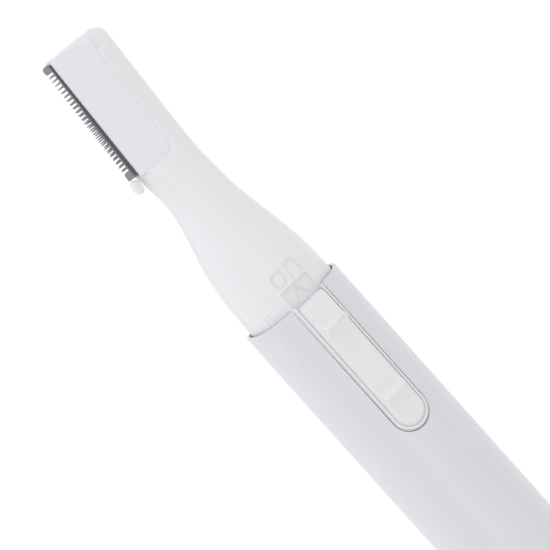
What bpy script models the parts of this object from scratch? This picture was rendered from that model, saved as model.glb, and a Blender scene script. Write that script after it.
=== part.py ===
"""Pen-shaped face and nose-line trimmer with a straight side blade.

The trimmer lies along X: the flat tail of the barrel is at X = 0, the head points to +X, the
slide switch faces +Z and the blade faces +Y. The head is canted a few degrees about Z.
Lengths below are in millimetres; MM turns them into Blender's metres.
"""

import math

import bmesh
import bpy
from mathutils import Matrix, Vector

MM = 0.001

# Barrel: a thin drawn tube with a plug in its tail and a slot that is open at the mouth.
BARREL_HALF = 8.0
BARREL_WALL = 0.5
MOUTH_X = 95.0
SOFT_SQUARE = 2.4  # superellipse exponent of every barrel section
CAP_FLANGE = 2.4
CAP_SPIGOT = 4.6
CAP_ROUNDING = 1.2
SLOT_HALF = 3.15
SLOT_LENGTH = 24.8
RING_POINTS = 32

# Chassis: two moulded half shells, parted on the plane Z = 0.
CHASSIS_HALF = 7.18
CHASSIS_TAIL_X = 8.5
WALL = 1.2
NECK_WALL = 1.0
PARTING_GAP = 0.1
BAY_START_X = 9.7
BAY_END_X = 59.2
BULKHEAD = 1.0

# Head: straight, canted, with a pocket for the blade block on its +Y side.
HEAD_BASE_X = MOUTH_X + 28.0
HEAD_LENGTH = 20.25
HEAD_CANT = 4.0
HEAD_HALF_WIDTH = 4.88
HEAD_CENTRE_Y = 0.08
HEAD_HALF_THICKNESS = 2.85
HEAD_CORNER = 1.7
POCKET_SIDE_Y = -1.45
POCKET_CORNER = 1.1
POCKET_FLOOR_Z = -1.65
POCKET_END_X = -0.27
SPINE_STEP_X = 17.1

# Outline of the neck: distance past the mouth, half width, centre in Y, half thickness, exponent.
NECK = (
    (0.0, 7.18, 0.00, 7.18, 2.4),
    (3.0, 7.15, 0.02, 7.15, 2.4),
    (6.0, 6.97, 0.06, 6.95, 2.4),
    (9.0, 6.62, 0.08, 6.50, 2.4),
    (12.0, 6.12, 0.09, 5.85, 2.4),
    (14.5, 5.54, -0.03, 5.20, 2.45),
    (17.0, 5.04, -0.13, 4.60, 2.5),
    (19.5, 4.65, -0.30, 4.10, 2.55),
    (22.0, 4.45, -0.38, 3.75, 2.6),
    (24.6, 4.52, -0.18, 3.40, 2.7),
    (28.0, 4.85, 0.03, 3.05, 2.8),
)
CANT_START = 21.0

# Slide switch: a pocket with a raised rim, and the thumb slider in it.
RIM_HALF = 2.85
RIM_TOP_Z = 8.0
POCKET_HALF = 2.5
SWITCH_FLOOR_Z = 6.5
SWITCH_FLOOR_UNDERSIDE = 5.25
SWITCH_TRAVEL = 2.8
SLIDER_FRONT_X = MOUTH_X - 0.4
SLIDER_LENGTH = 23.2
SLIDER_HALF = 2.13
SLIDER_FRONT_Z = 9.4
SLIDER_VALLEY_Z = 8.8
SLIDER_TAIL_Z = 8.6
STEM_CENTRE_X = 75.5
STEM_HALF_X = 1.5
SWITCH_BASE = (0.6, 1.4)  # bottom and top of the insulating plate under the switch
CONTACT_TOP_Z = 1.8

# Power and drive.
BATTERY_RADIUS = 5.25
BATTERY_START_X = 14.0
BATTERY_LENGTH = 44.5
MOTOR_RADIUS = 5.0
MOTOR_REAR_X = 88.5
MOTOR_LENGTH = 15.0
SHAFT_RADIUS = 0.75
ECCENTRICITY = 0.75
CRANK_PIN_RADIUS = 0.45
CAM_START_X = 106.2
CAM_LENGTH = 3.0
CRANK_PIN_LENGTH = 2.4
FORK_HALF_GAP = 2.2
LEVER_PIVOT_X = -2.5  # in the head's frame
DRIVE_TIP = (2.2, 3.4)  # in the head's frame
DRIVE_TIP_RADIUS = 0.6
SCREW_X = 66.5
SCREW_Y = 2.6
LEAD_RADIUS = 0.35
LEAD_CORNER = 4.05  # a lead runs beside the cell at this Y and Z

# Blade block, in the head's frame.
FIT_GAP = 0.15
COVER_LEFT_Y = 4.95
COVER_TIP_X = 20.3
COVER_FRONT_Z = 2.5
COVER_THICKNESS = 0.75
CLAMP_LEFT_Y = 5.12
WALL_LEFT_Y = 5.3
NUB_LEFT_Y = 6.6
COMB_START, COMB_END = -0.05, 20.3
COMB_ROOT_Y, COMB_TIP_Y = 5.4, 6.27
COMB_TEETH = 26
END_GUARD = 1.2
COMB_Z = 0.92
COMB_THICKNESS = 0.25
CUTTER_TEETH = 25
CUTTER_Z = 0.65
CUTTER_THICKNESS = 0.22

WHITE = ("white_abs", (0.86, 0.86, 0.88), 0.32, 0.0)
BARREL_PAINT = ("barrel_paint", (0.74, 0.73, 0.79), 0.38, 0.35)
STEEL = ("blade_steel", (0.56, 0.56, 0.58), 0.25, 1.0)
DARK_ACETAL = ("dark_acetal", (0.05, 0.05, 0.09), 0.45, 0.0)
NATURAL_ACETAL = ("natural_acetal", (0.80, 0.80, 0.76), 0.4, 0.0)
BRASS = ("brass", (0.72, 0.56, 0.26), 0.3, 1.0)
SPRING_STEEL = ("spring_steel", (0.62, 0.62, 0.64), 0.25, 1.0)
MOTOR_STEEL = ("motor_steel", (0.66, 0.66, 0.68), 0.35, 1.0)
FERRITE = ("ferrite", (0.12, 0.12, 0.13), 0.6, 0.0)
LAMINATION = ("lamination", (0.42, 0.36, 0.32), 0.5, 0.8)
RUBBER = ("rubber", (0.08, 0.08, 0.08), 0.75, 0.0)
BATTERY_JACKET = ("battery_jacket", (0.10, 0.22, 0.16), 0.35, 0.2)
RED_PVC = ("red_pvc", (0.60, 0.05, 0.04), 0.45, 0.0)
BLACK_PVC = ("black_pvc", (0.03, 0.03, 0.03), 0.45, 0.0)

AXIS_X = Matrix(((0, 0, 1, 0), (1, 0, 0, 0), (0, 1, 0, 0), (0, 0, 0, 1)))  # local Z becomes X


def clear_scene():
    for obj in list(bpy.data.objects):
        bpy.data.objects.remove(obj, do_unlink=True)


def new_collection(name):
    collection = bpy.data.collections.new(name)
    bpy.context.scene.collection.children.link(collection)
    return collection


def material(look):
    """The Principled material of one look, made once."""
    name, colour, roughness, metallic = look
    made = bpy.data.materials.get(name)
    if made is None:
        made = bpy.data.materials.new(name)
        made.use_nodes = True
        shader = made.node_tree.nodes["Principled BSDF"]
        shader.inputs["Base Color"].default_value = (*colour, 1.0)
        shader.inputs["Roughness"].default_value = roughness
        shader.inputs["Metallic"].default_value = metallic
    return made


def finish(name, mesh, look=None, frame=None, matrix=None):
    """Links a mesh as a part, or as a hidden tool where it has no look."""
    obj = bpy.data.objects.new(name, mesh)
    if look:
        PARTS.objects.link(obj)
        mesh.materials.append(material(look))
    else:
        TOOLS.objects.link(obj)
        obj.hide_render = True
        obj.display_type = "WIRE"
    if frame is not None:
        obj.parent = frame
    if matrix is not None:
        obj.matrix_local = matrix
    mesh.shade_smooth()
    mesh.set_sharp_from_angle(angle=math.radians(35))
    return obj


def mesh_from(build, name):
    """A mesh filled by build(bmesh), with its normals pointing out."""
    bm = bmesh.new()
    build(bm)
    bmesh.ops.recalc_face_normals(bm, faces=bm.faces)
    mesh = bpy.data.meshes.new(name)
    bm.to_mesh(mesh)
    bm.free()
    return mesh


def box(name, low, high, look=None, frame=None, bevel=0.0):
    """A box between two corners, in millimetres."""
    size = [(h - l) * MM for l, h in zip(low, high)]
    centre = Vector([(h + l) / 2 * MM for l, h in zip(low, high)])

    def build(bm):
        bmesh.ops.create_cube(bm, size=1.0)
        bmesh.ops.scale(bm, vec=size, verts=bm.verts)

    obj = finish(name, mesh_from(build, name), look, frame, Matrix.Translation(centre))
    if bevel:
        round_edges(obj, bevel)
    return obj


def cylinder(name, start, end, radius, look=None, frame=None, sides=20):
    """A cylinder between two points, in millimetres."""
    a, b = Vector(start) * MM, Vector(end) * MM
    turn = (b - a).to_track_quat("Z", "Y").to_matrix().to_4x4()

    def build(bm):
        bmesh.ops.create_cone(
            bm,
            cap_ends=True,
            segments=sides,
            radius1=radius * MM,
            radius2=radius * MM,
            depth=(b - a).length,
        )

    matrix = Matrix.Translation((a + b) / 2) @ turn
    return finish(name, mesh_from(build, name), look, frame, matrix)


def turned(name, profile, look, sides=24, matrix=AXIS_X):
    """A solid turned about a local Z that the matrix stands along the trimmer. The profile holds
    (height, radius) pairs, top end first; one that never meets the axis makes a ring."""
    mesh = bpy.data.meshes.new(name)
    points = [(r * MM, 0.0, h * MM) for h, r in profile]
    edges = [(i, i + 1) for i in range(len(points) - 1)]
    if min(r for _, r in profile) > 0:
        edges.append((len(points) - 1, 0))
    mesh.from_pydata(points, edges, [])
    obj = finish(name, mesh, look, None, matrix)
    screw = obj.modifiers.new("turn", "SCREW")
    screw.steps = screw.render_steps = sides
    screw.use_merge_vertices = True
    screw.merge_threshold = 0.00001
    screw.use_smooth_shade = True
    return obj


def plate(name, outlines, low, high, look=None, frame=None, matrix=None):
    """A flat piece: closed outlines in millimetres, filled and extruded from low to high."""
    curve = bpy.data.curves.new(name, "CURVE")
    curve.dimensions = "2D"
    curve.fill_mode = "BOTH"
    curve.extrude = (high - low) / 2 * MM
    for outline in outlines:
        spline = curve.splines.new("POLY")
        spline.points.add(len(outline) - 1)
        for point, (x, y) in zip(spline.points, outline):
            point.co = (x * MM, y * MM, 0.0, 1.0)
        spline.use_cyclic_u = True
    flat = bpy.data.objects.new(name + "_outline", curve)
    TOOLS.objects.link(flat)
    mesh = evaluated_mesh(flat, name)
    bpy.data.objects.remove(flat)
    lift = Matrix.Translation((0.0, 0.0, (high + low) / 2 * MM))
    return finish(name, mesh, look, frame, (matrix or Matrix()) @ lift)


def evaluated_mesh(obj, name):
    """A curve object as a mesh of its own, with its caps welded to its sides."""
    bpy.context.view_layer.update()
    graph = bpy.context.evaluated_depsgraph_get()
    mesh = bpy.data.meshes.new_from_object(obj.evaluated_get(graph))
    mesh.name = name
    bm = bmesh.new()
    bm.from_mesh(mesh)
    bmesh.ops.remove_doubles(bm, verts=bm.verts, dist=0.000001)
    bmesh.ops.recalc_face_normals(bm, faces=bm.faces)
    bm.to_mesh(mesh)
    bm.free()
    mesh.materials.clear()
    return mesh


def tube(name, route, radius, look, frame=None, resolution=2):
    """A round wire along a list of points, in millimetres."""
    curve = bpy.data.curves.new(name, "CURVE")
    curve.dimensions = "3D"
    curve.bevel_depth = radius * MM
    curve.bevel_resolution = resolution
    curve.use_fill_caps = True
    spline = curve.splines.new("POLY")
    spline.points.add(len(route) - 1)
    for point, at in zip(spline.points, route):
        point.co = (at[0] * MM, at[1] * MM, at[2] * MM, 1.0)
    obj = bpy.data.objects.new(name, curve)
    PARTS.objects.link(obj)
    curve.materials.append(material(look))
    if frame is not None:
        obj.parent = frame
    return obj


def loft(name, rings, look=None):
    """A closed body through rings of equally many points, for sections that change shape."""

    def build(bm):
        rows = [[bm.verts.new(point) for point in ring] for ring in rings]
        for near, far in zip(rows, rows[1:]):
            for k in range(len(near)):
                n = (k + 1) % len(near)
                bm.faces.new((near[k], near[n], far[n], far[k]))
        bm.faces.new(rows[0])
        bm.faces.new(list(reversed(rows[-1])))

    return finish(name, mesh_from(build, name), look)


def boolean(obj, tool, operation):
    modifier = obj.modifiers.new(f"{operation.lower()}_{tool.name}", "BOOLEAN")
    modifier.operation = operation
    modifier.object = tool
    modifier.solver = "EXACT"


def cut(obj, *tools):
    for tool in tools:
        boolean(obj, tool, "DIFFERENCE")


def join(obj, *tools):
    for tool in tools:
        boolean(obj, tool, "UNION")


def round_edges(obj, width, segments=2):
    bevel = obj.modifiers.new("rounded_edges", "BEVEL")
    bevel.width = width * MM
    bevel.segments = segments
    bevel.limit_method = "ANGLE"
    bevel.angle_limit = math.radians(50)


def soft_square(half_y, half_z, exponent, count=RING_POINTS):
    """Points of a superellipse, with a flat facet centred on each of its four sides."""
    points = []
    for k in range(count):
        angle = 2 * math.pi * (k + 0.5) / count
        c, s = math.cos(angle), math.sin(angle)
        y = math.copysign(abs(c) ** (2 / exponent), c) * half_y
        z = math.copysign(abs(s) ** (2 / exponent), s) * half_z
        points.append((y, z))
    return points


def ring_at(x, half_y, half_z, exponent, centre_y=0.0, turn=0.0):
    """A superellipse ring standing across the trimmer at x, turned about Z by an angle in degrees."""
    across = Vector((-math.sin(math.radians(turn)), math.cos(math.radians(turn)), 0.0))
    centre = Vector((x, centre_y, 0.0))
    ring = []
    for y, z in soft_square(half_y, half_z, exponent):
        ring.append((centre + across * y + Vector((0, 0, z))) * MM)
    return ring


def smooth_value(table, x, column):
    """A cubic through a table's rows, without overshoot (harmonic-mean slopes)."""
    xs = [row[0] for row in table]
    ys = [row[column] for row in table]
    if x <= xs[0]:
        return ys[0]
    if x >= xs[-1]:
        return ys[-1]
    steps = [(ys[i + 1] - ys[i]) / (xs[i + 1] - xs[i]) for i in range(len(xs) - 1)]
    slopes = [steps[0]]
    for before, after in zip(steps, steps[1:]):
        slopes.append(0.0 if before * after <= 0 else 2 * before * after / (before + after))
    slopes.append(steps[-1])
    i = max(k for k in range(len(xs) - 1) if xs[k] <= x)
    width = xs[i + 1] - xs[i]
    t = (x - xs[i]) / width
    return (
        (2 * t**3 - 3 * t**2 + 1) * ys[i]
        + (t**3 - 2 * t**2 + t) * width * slopes[i]
        + (3 * t**2 - 2 * t**3) * ys[i + 1]
        + (t**3 - t**2) * width * slopes[i + 1]
    )


def smooth_step(t):
    t = min(1.0, max(0.0, t))
    return t * t * (3 - 2 * t)


def neck_ring(past_mouth, inset):
    """Section of the neck at a distance past the mouth, drawn in by inset."""
    half_y, centre_y, half_z, exponent = (
        smooth_value(NECK, past_mouth, column) for column in (1, 2, 3, 4)
    )
    turn = -HEAD_CANT * smooth_step((past_mouth - CANT_START) / (28.0 - CANT_START))
    x = MOUTH_X + past_mouth
    return ring_at(x, half_y - inset, half_z - inset, exponent, centre_y, turn)


def head_ring(along):
    """Section of the head at a distance along it, with its tip corner and front edge rounded."""
    cant = math.radians(HEAD_CANT)
    past_corner = max(0.0, along - (HEAD_LENGTH - HEAD_CORNER))
    drawn_in = HEAD_CORNER - math.sqrt(max(0.0, HEAD_CORNER**2 - past_corner**2))
    edge = 0.8
    past_edge = max(0.0, along - (HEAD_LENGTH - edge))
    thinner = edge - math.sqrt(max(0.0, edge**2 - past_edge**2))
    settle = smooth_step(along / 6.0)
    half_y = HEAD_HALF_WIDTH - 0.03 * (1 - settle) - drawn_in / 2
    half_z = 3.05 + (HEAD_HALF_THICKNESS - 3.05) * settle - thinner * 0.8
    across = HEAD_CENTRE_Y - 0.05 * (1 - settle) + drawn_in / 2
    x = HEAD_BASE_X + along * math.cos(cant) + across * math.sin(cant)
    y = -along * math.sin(cant) + across * math.cos(cant)
    return ring_at(x, half_y, half_z, 2.8, y, -HEAD_CANT)


def arc(centre, radius, start, end, steps):
    """Points on an arc, angles in degrees."""
    points = []
    for k in range(steps + 1):
        angle = math.radians(start + (end - start) * k / steps)
        points.append((centre[0] + radius * math.cos(angle), centre[1] + radius * math.sin(angle)))
    return points


def rounded_tail(start_x, end_x, half, steps=10):
    """A slot's outline: round at its low X end, square at the other."""
    return [(end_x, -half), (end_x, half), *arc((start_x + half, 0.0), half, 90, 270, steps)]


# ---------------------------------------------------------------- barrel


def build_barrel():
    inner = BARREL_HALF - BARREL_WALL
    outlines = [
        soft_square(BARREL_HALF, BARREL_HALF, SOFT_SQUARE),
        soft_square(inner, inner, SOFT_SQUARE),
    ]
    sleeve = plate(
        "barrel_sleeve", outlines, CAP_FLANGE + 0.1, MOUTH_X, BARREL_PAINT, matrix=AXIS_X
    )
    slot = rounded_tail(MOUTH_X - SLOT_LENGTH, MOUTH_X + 5, SLOT_HALF)
    cut(sleeve, plate("tool_slot", [slot], 4.0, 12.0))

    flange = []
    for k in range(5):
        angle = math.radians(90 * k / 4)
        half = BARREL_HALF - CAP_ROUNDING * (1 - math.sin(angle))
        x = CAP_ROUNDING * (1 - math.cos(angle))
        flange.append(ring_at(x, half, half, SOFT_SQUARE))
    flange.append(ring_at(CAP_FLANGE, BARREL_HALF, BARREL_HALF, SOFT_SQUARE))
    cap = loft("barrel_end_cap", flange, WHITE)
    spigot_half = inner - 0.3
    spigot = [
        ring_at(x, spigot_half, spigot_half, SOFT_SQUARE)
        for x in (CAP_FLANGE - 1.0, CAP_FLANGE + CAP_SPIGOT)
    ]
    hollow = [
        ring_at(x, spigot_half - WALL, spigot_half - WALL, SOFT_SQUARE)
        for x in (CAP_FLANGE - 0.6, CAP_FLANGE + CAP_SPIGOT + 2)
    ]
    join(cap, loft("tool_cap_spigot", spigot))
    cut(cap, loft("tool_cap_hollow", hollow))


# ---------------------------------------------------------------- shells


def chassis_body(name, look):
    """The solid outside of both shells together, from the tail to the tip of the head."""
    rings = [ring_at(CHASSIS_TAIL_X, CHASSIS_HALF, CHASSIS_HALF, SOFT_SQUARE)]
    rings += [neck_ring(x, 0.0) for x in (0, 3, 6, 9, 12, 14.5, 17, 19.5, 22, 24.6, 26.5)]
    rings += [head_ring(x) for x in (0, 3, 6, SPINE_STEP_X, 19.0, 19.6, 20.0, 20.25, 20.4)]
    return loft(name, rings, look)


def cavities():
    """The hollows inside the chassis: the battery bay, and the motor room that runs into the neck."""
    half = CHASSIS_HALF - WALL
    bay = [ring_at(x, half, half, SOFT_SQUARE) for x in (BAY_START_X, BAY_END_X)]
    room = [ring_at(BAY_END_X + BULKHEAD, half, half, SOFT_SQUARE)]
    room += [neck_ring(x, WALL) for x in (0, 4, 8, 12)]
    room += [neck_ring(x, NECK_WALL) for x in (16, 20, 24, 28.0)]
    return [loft("tool_battery_bay", bay), loft("tool_motor_room", room)]


def build_shells(head):
    hollows = cavities()
    far = 40.0
    below = box("tool_below", (-far, -far, -far), (4 * far, far, PARTING_GAP / 2))
    above = box("tool_above", (-far, -far, -PARTING_GAP / 2), (4 * far, far, far))
    corner = (POCKET_END_X + POCKET_CORNER, POCKET_SIDE_Y + POCKET_CORNER)
    outline = [(far, POCKET_SIDE_Y), (far, far), (POCKET_END_X, far)]
    outline += arc(corner, POCKET_CORNER, 180, 270, 5)
    pocket = plate("tool_blade_pocket", [outline], POCKET_FLOOR_Z, far, frame=head)
    lead_notches = [
        cylinder(f"tool_lead_notch_{i}", (BAY_END_X - 1, y, z), (BAY_END_X + 3, y, z), 0.8)
        for i, (y, z) in enumerate(((-LEAD_CORNER, LEAD_CORNER), (LEAD_CORNER, LEAD_CORNER)))
    ]

    front = chassis_body("front_shell", WHITE)
    cut(front, *hollows, below)
    rim = rounded_tail(MOUTH_X - SLOT_LENGTH + 0.3, MOUTH_X, RIM_HALF)
    join(front, plate("tool_rim", [rim], SWITCH_FLOOR_UNDERSIDE, RIM_TOP_Z))
    join(
        front,
        box(
            "tool_recess_floor",
            (MOUTH_X - 2, -RIM_HALF, SWITCH_FLOOR_UNDERSIDE),
            (MOUTH_X + 4.0, RIM_HALF, CHASSIS_HALF - 0.5),
        ),
    )
    pocket_end = SLIDER_FRONT_X + SWITCH_TRAVEL + 0.3
    track = rounded_tail(MOUTH_X - SLOT_LENGTH + 0.8, pocket_end, POCKET_HALF)
    cut(front, plate("tool_track", [track], SWITCH_FLOOR_Z, 14.0))
    stem_slot = rounded_tail(
        STEM_CENTRE_X - STEM_HALF_X - 1.0, STEM_CENTRE_X + STEM_HALF_X + SWITCH_TRAVEL + 0.4, 1.3
    )
    cut(front, plate("tool_stem_slot", [stem_slot], 3.0, 9.0))
    arrow = [(MOUTH_X - 0.1, -1.45), (MOUTH_X + 2.3, 0.0), (MOUTH_X - 0.1, 1.45)]
    cut(front, plate("tool_arrow", [arrow], SWITCH_FLOOR_Z - 0.4, SWITCH_FLOOR_Z + 1.0))
    for side, y in (("left", SCREW_Y), ("right", -SCREW_Y)):
        join(front, cylinder(f"tool_boss_{side}", (SCREW_X, y, 0.05), (SCREW_X, y, 5.6), 1.5))
        cut(front, cylinder(f"tool_pilot_{side}", (SCREW_X, y, -1), (SCREW_X, y, 3.9), 0.8))
        clamp = sorted((math.copysign(4.3, y), math.copysign(6.3, y)))
        join(
            front,
            box(f"tool_clamp_rib_{side}", (71, clamp[0], SWITCH_BASE[1] + 0.1), (84, clamp[1], 3)),
        )
    cut(front, *lead_notches)
    cut(front, pocket)
    step = box(
        "tool_spine_step",
        (SPINE_STEP_X, POCKET_SIDE_Y - 2.0, 2.45),
        (HEAD_LENGTH - 1.0, POCKET_SIDE_Y + 1.0, 6.0),
        frame=head,
    )
    cut(front, step)

    rear = chassis_body("rear_shell", WHITE)
    cut(rear, *hollows, above)
    for side, y in (("left", SCREW_Y), ("right", -SCREW_Y)):
        join(rear, cylinder(f"tool_post_{side}", (SCREW_X, y, -5.65), (SCREW_X, y, -0.05), 2.3))
        cut(rear, cylinder(f"tool_clearance_{side}", (SCREW_X, y, -9), (SCREW_X, y, 1), 1.0))
        cut(rear, cylinder(f"tool_counterbore_{side}", (SCREW_X, y, -9), (SCREW_X, y, -4.3), 1.75))
        ledge = sorted((math.copysign(4.3, y), math.copysign(6.3, y)))
        join(
            rear,
            box(f"tool_ledge_{side}", (71, ledge[0], -3.0), (84, ledge[1], -PARTING_GAP)),
        )
    cut(rear, box("tool_battery_window", (13.0, -5.35, -12), (57.5, 5.35, 3.0)))
    cut(rear, pocket)

    for name, shell, angle in (
        ("a", front, 42),
        ("b", front, 138),
        ("c", rear, 222),
        ("d", rear, 318),
    ):
        y, z = math.cos(math.radians(angle)), math.sin(math.radians(angle))
        reach = 7.4
        rib = cylinder(
            f"tool_rib_{name}",
            (MOUTH_X - 8, y * reach, z * reach),
            (MOUTH_X + 2.1, y * reach, z * reach),
            0.36,
            sides=10,
        )
        join(shell, rib)
    return front, rear




def build_screws():
    profile = [(3.4, 0.0), (2.8, 0.65), (-4.4, 0.65), (-4.4, 1.45), (-5.1, 1.45), (-5.4, 1.1)]
    for side, y in (("left", SCREW_Y), ("right", -SCREW_Y)):
        place = Matrix.Translation(Vector((SCREW_X, y, 0.0)) * MM)
        screw = turned(f"shell_screw_{side}", [*profile, (-5.4, 0.0)], STEEL, 16, place)
        for k, (half_x, half_y) in enumerate(((0.9, 0.15), (0.15, 0.9))):
            cut(
                screw,
                box(
                    f"tool_driver_{side}_{k}",
                    (SCREW_X - half_x, y - half_y, -6.0),
                    (SCREW_X + half_x, y + half_y, -5.1 + 0.01 * k),
                ),
            )


# ---------------------------------------------------------------- switch and wiring


def side_profile(name, points, low_y, high_y, look=None):
    """A piece with one outline in X and Z, extruded across Y."""
    upright = Matrix(((1, 0, 0, 0), (0, 0, -1, 0), (0, 1, 0, 0), (0, 0, 0, 1)))
    return plate(name, [points], -high_y, -low_y, look, matrix=upright)


def build_switch():
    front = SLIDER_FRONT_X
    tail = front - SLIDER_LENGTH
    top, valley, low = SLIDER_FRONT_Z, SLIDER_VALLEY_Z, SLIDER_TAIL_Z
    thumb = [(front, SWITCH_FLOOR_Z + 0.1), (front, top - 0.3), (front - 0.3, top)]
    thumb += [(front - 4.0, top), (front - 4.6, top + 0.35), (front - 4.95, 10.1)]
    thumb += [(front - 5.2, 9.9), (front - 6.1, 9.0), (front - 7.2, valley)]
    thumb += [(front - 17.0, valley), (front - 17.5, 9.15), (front - 17.8, 9.5)]
    thumb += [(front - 18.1, 9.3), (front - 19.0, 8.7), (front - 20.1, low)]
    thumb += [(tail + 0.3, low), (tail, low - 0.3), (tail, SWITCH_FLOOR_Z + 0.1)]
    slider = side_profile("switch_slider", thumb, -SLIDER_HALF, SLIDER_HALF, WHITE)
    plan = rounded_tail(tail, front + 1.0, SLIDER_HALF)
    boolean(slider, plate("tool_slider_plan", [plan], 5.0, 12.0), "INTERSECT")
    stem = box(
        "tool_stem",
        (STEM_CENTRE_X - STEM_HALF_X, -1.1, 3.0),
        (STEM_CENTRE_X + STEM_HALF_X, 1.1, SWITCH_FLOOR_Z + 0.4),
    )
    join(slider, stem)

    carrier = box(
        "switch_carrier",
        (STEM_CENTRE_X - 3.0, -2.3, 2.4),
        (STEM_CENTRE_X + 4.0, 2.3, SWITCH_FLOOR_UNDERSIDE - 0.1),
        NATURAL_ACETAL,
    )
    socket = box(
        "tool_stem_socket",
        (STEM_CENTRE_X - STEM_HALF_X - 0.1, -1.2, 2.9),
        (STEM_CENTRE_X + STEM_HALF_X + 0.1, 1.2, 6.0),
    )
    cut(carrier, socket)

    # The bridge joins the two fixed contacts once the switch is forward.
    z = CONTACT_TOP_Z + 0.08
    rear_x, front_x = STEM_CENTRE_X - 3.4, STEM_CENTRE_X + 5.6
    bridge = [(rear_x, z + 0.5), (rear_x + 0.3, z + 0.5), (rear_x + 1.0, z + 0.22)]
    bridge += [(front_x - 1.0, z + 0.22), (front_x - 0.3, z + 0.5), (front_x, z + 0.5)]
    bridge += [(front_x - 0.8, z), (rear_x + 0.8, z)]
    side_profile("contact_bridge", bridge, -1.1, 1.1, BRASS)

    low, high = SWITCH_BASE
    base = box("switch_base", (70.0, -5.3, low), (86.9, 5.3, high), DARK_ACETAL)
    for name, start, end in (("supply", 70.6, 76.5), ("motor", 81.9, 86.6)):
        leaf = box(
            f"{name}_contact", (start, -1.3, high + 0.05), (end, 1.3, CONTACT_TOP_Z), BRASS
        )
        peg = cylinder(
            f"tool_{name}_peg",
            ((start + end) / 2, 0.0, low + 0.1),
            ((start + end) / 2, 0.0, high + 0.2),
            0.5,
            sides=14,
        )
        hole = cylinder(
            f"tool_{name}_hole",
            ((start + end) / 2, 0.0, low - 1.0),
            ((start + end) / 2, 0.0, high + 1.0),
            0.55,
            sides=14,
        )
        join(leaf, peg)
        cut(base, hole)


def build_wiring():
    corner = LEAD_CORNER
    tube(
        "positive_lead",
        [
            (BAY_END_X + 0.45, corner, corner),
            (61.8, corner, corner),
            (63.8, 0.5, 3.6),
            (68.6, 0.5, 3.2),
            (70.2, 0.6, CONTACT_TOP_Z + 0.42),
            (72.0, 0.6, CONTACT_TOP_Z + 0.42),
        ],
        LEAD_RADIUS,
        RED_PVC,
    )
    tube(
        "negative_lead",
        [
            (10.5, -corner, corner),
            (61.8, -corner, corner),
            (63.8, -0.5, 3.6),
            (68.3, -0.5, 2.8),
            (69.3, -1.6, -0.6),
            (84.0, -2.6, -0.6),
            (86.9, -2.6, -0.33),
        ],
        LEAD_RADIUS,
        BLACK_PVC,
    )
    tube(
        "motor_lead",
        [
            (84.8, 0.7, CONTACT_TOP_Z + 0.42),
            (86.9, 0.9, CONTACT_TOP_Z + 0.42),
            (87.85, 1.6, 1.3),
            (87.85, 2.4, 0.8),
        ],
        LEAD_RADIUS,
        RED_PVC,
    )


# ---------------------------------------------------------------- power


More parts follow.
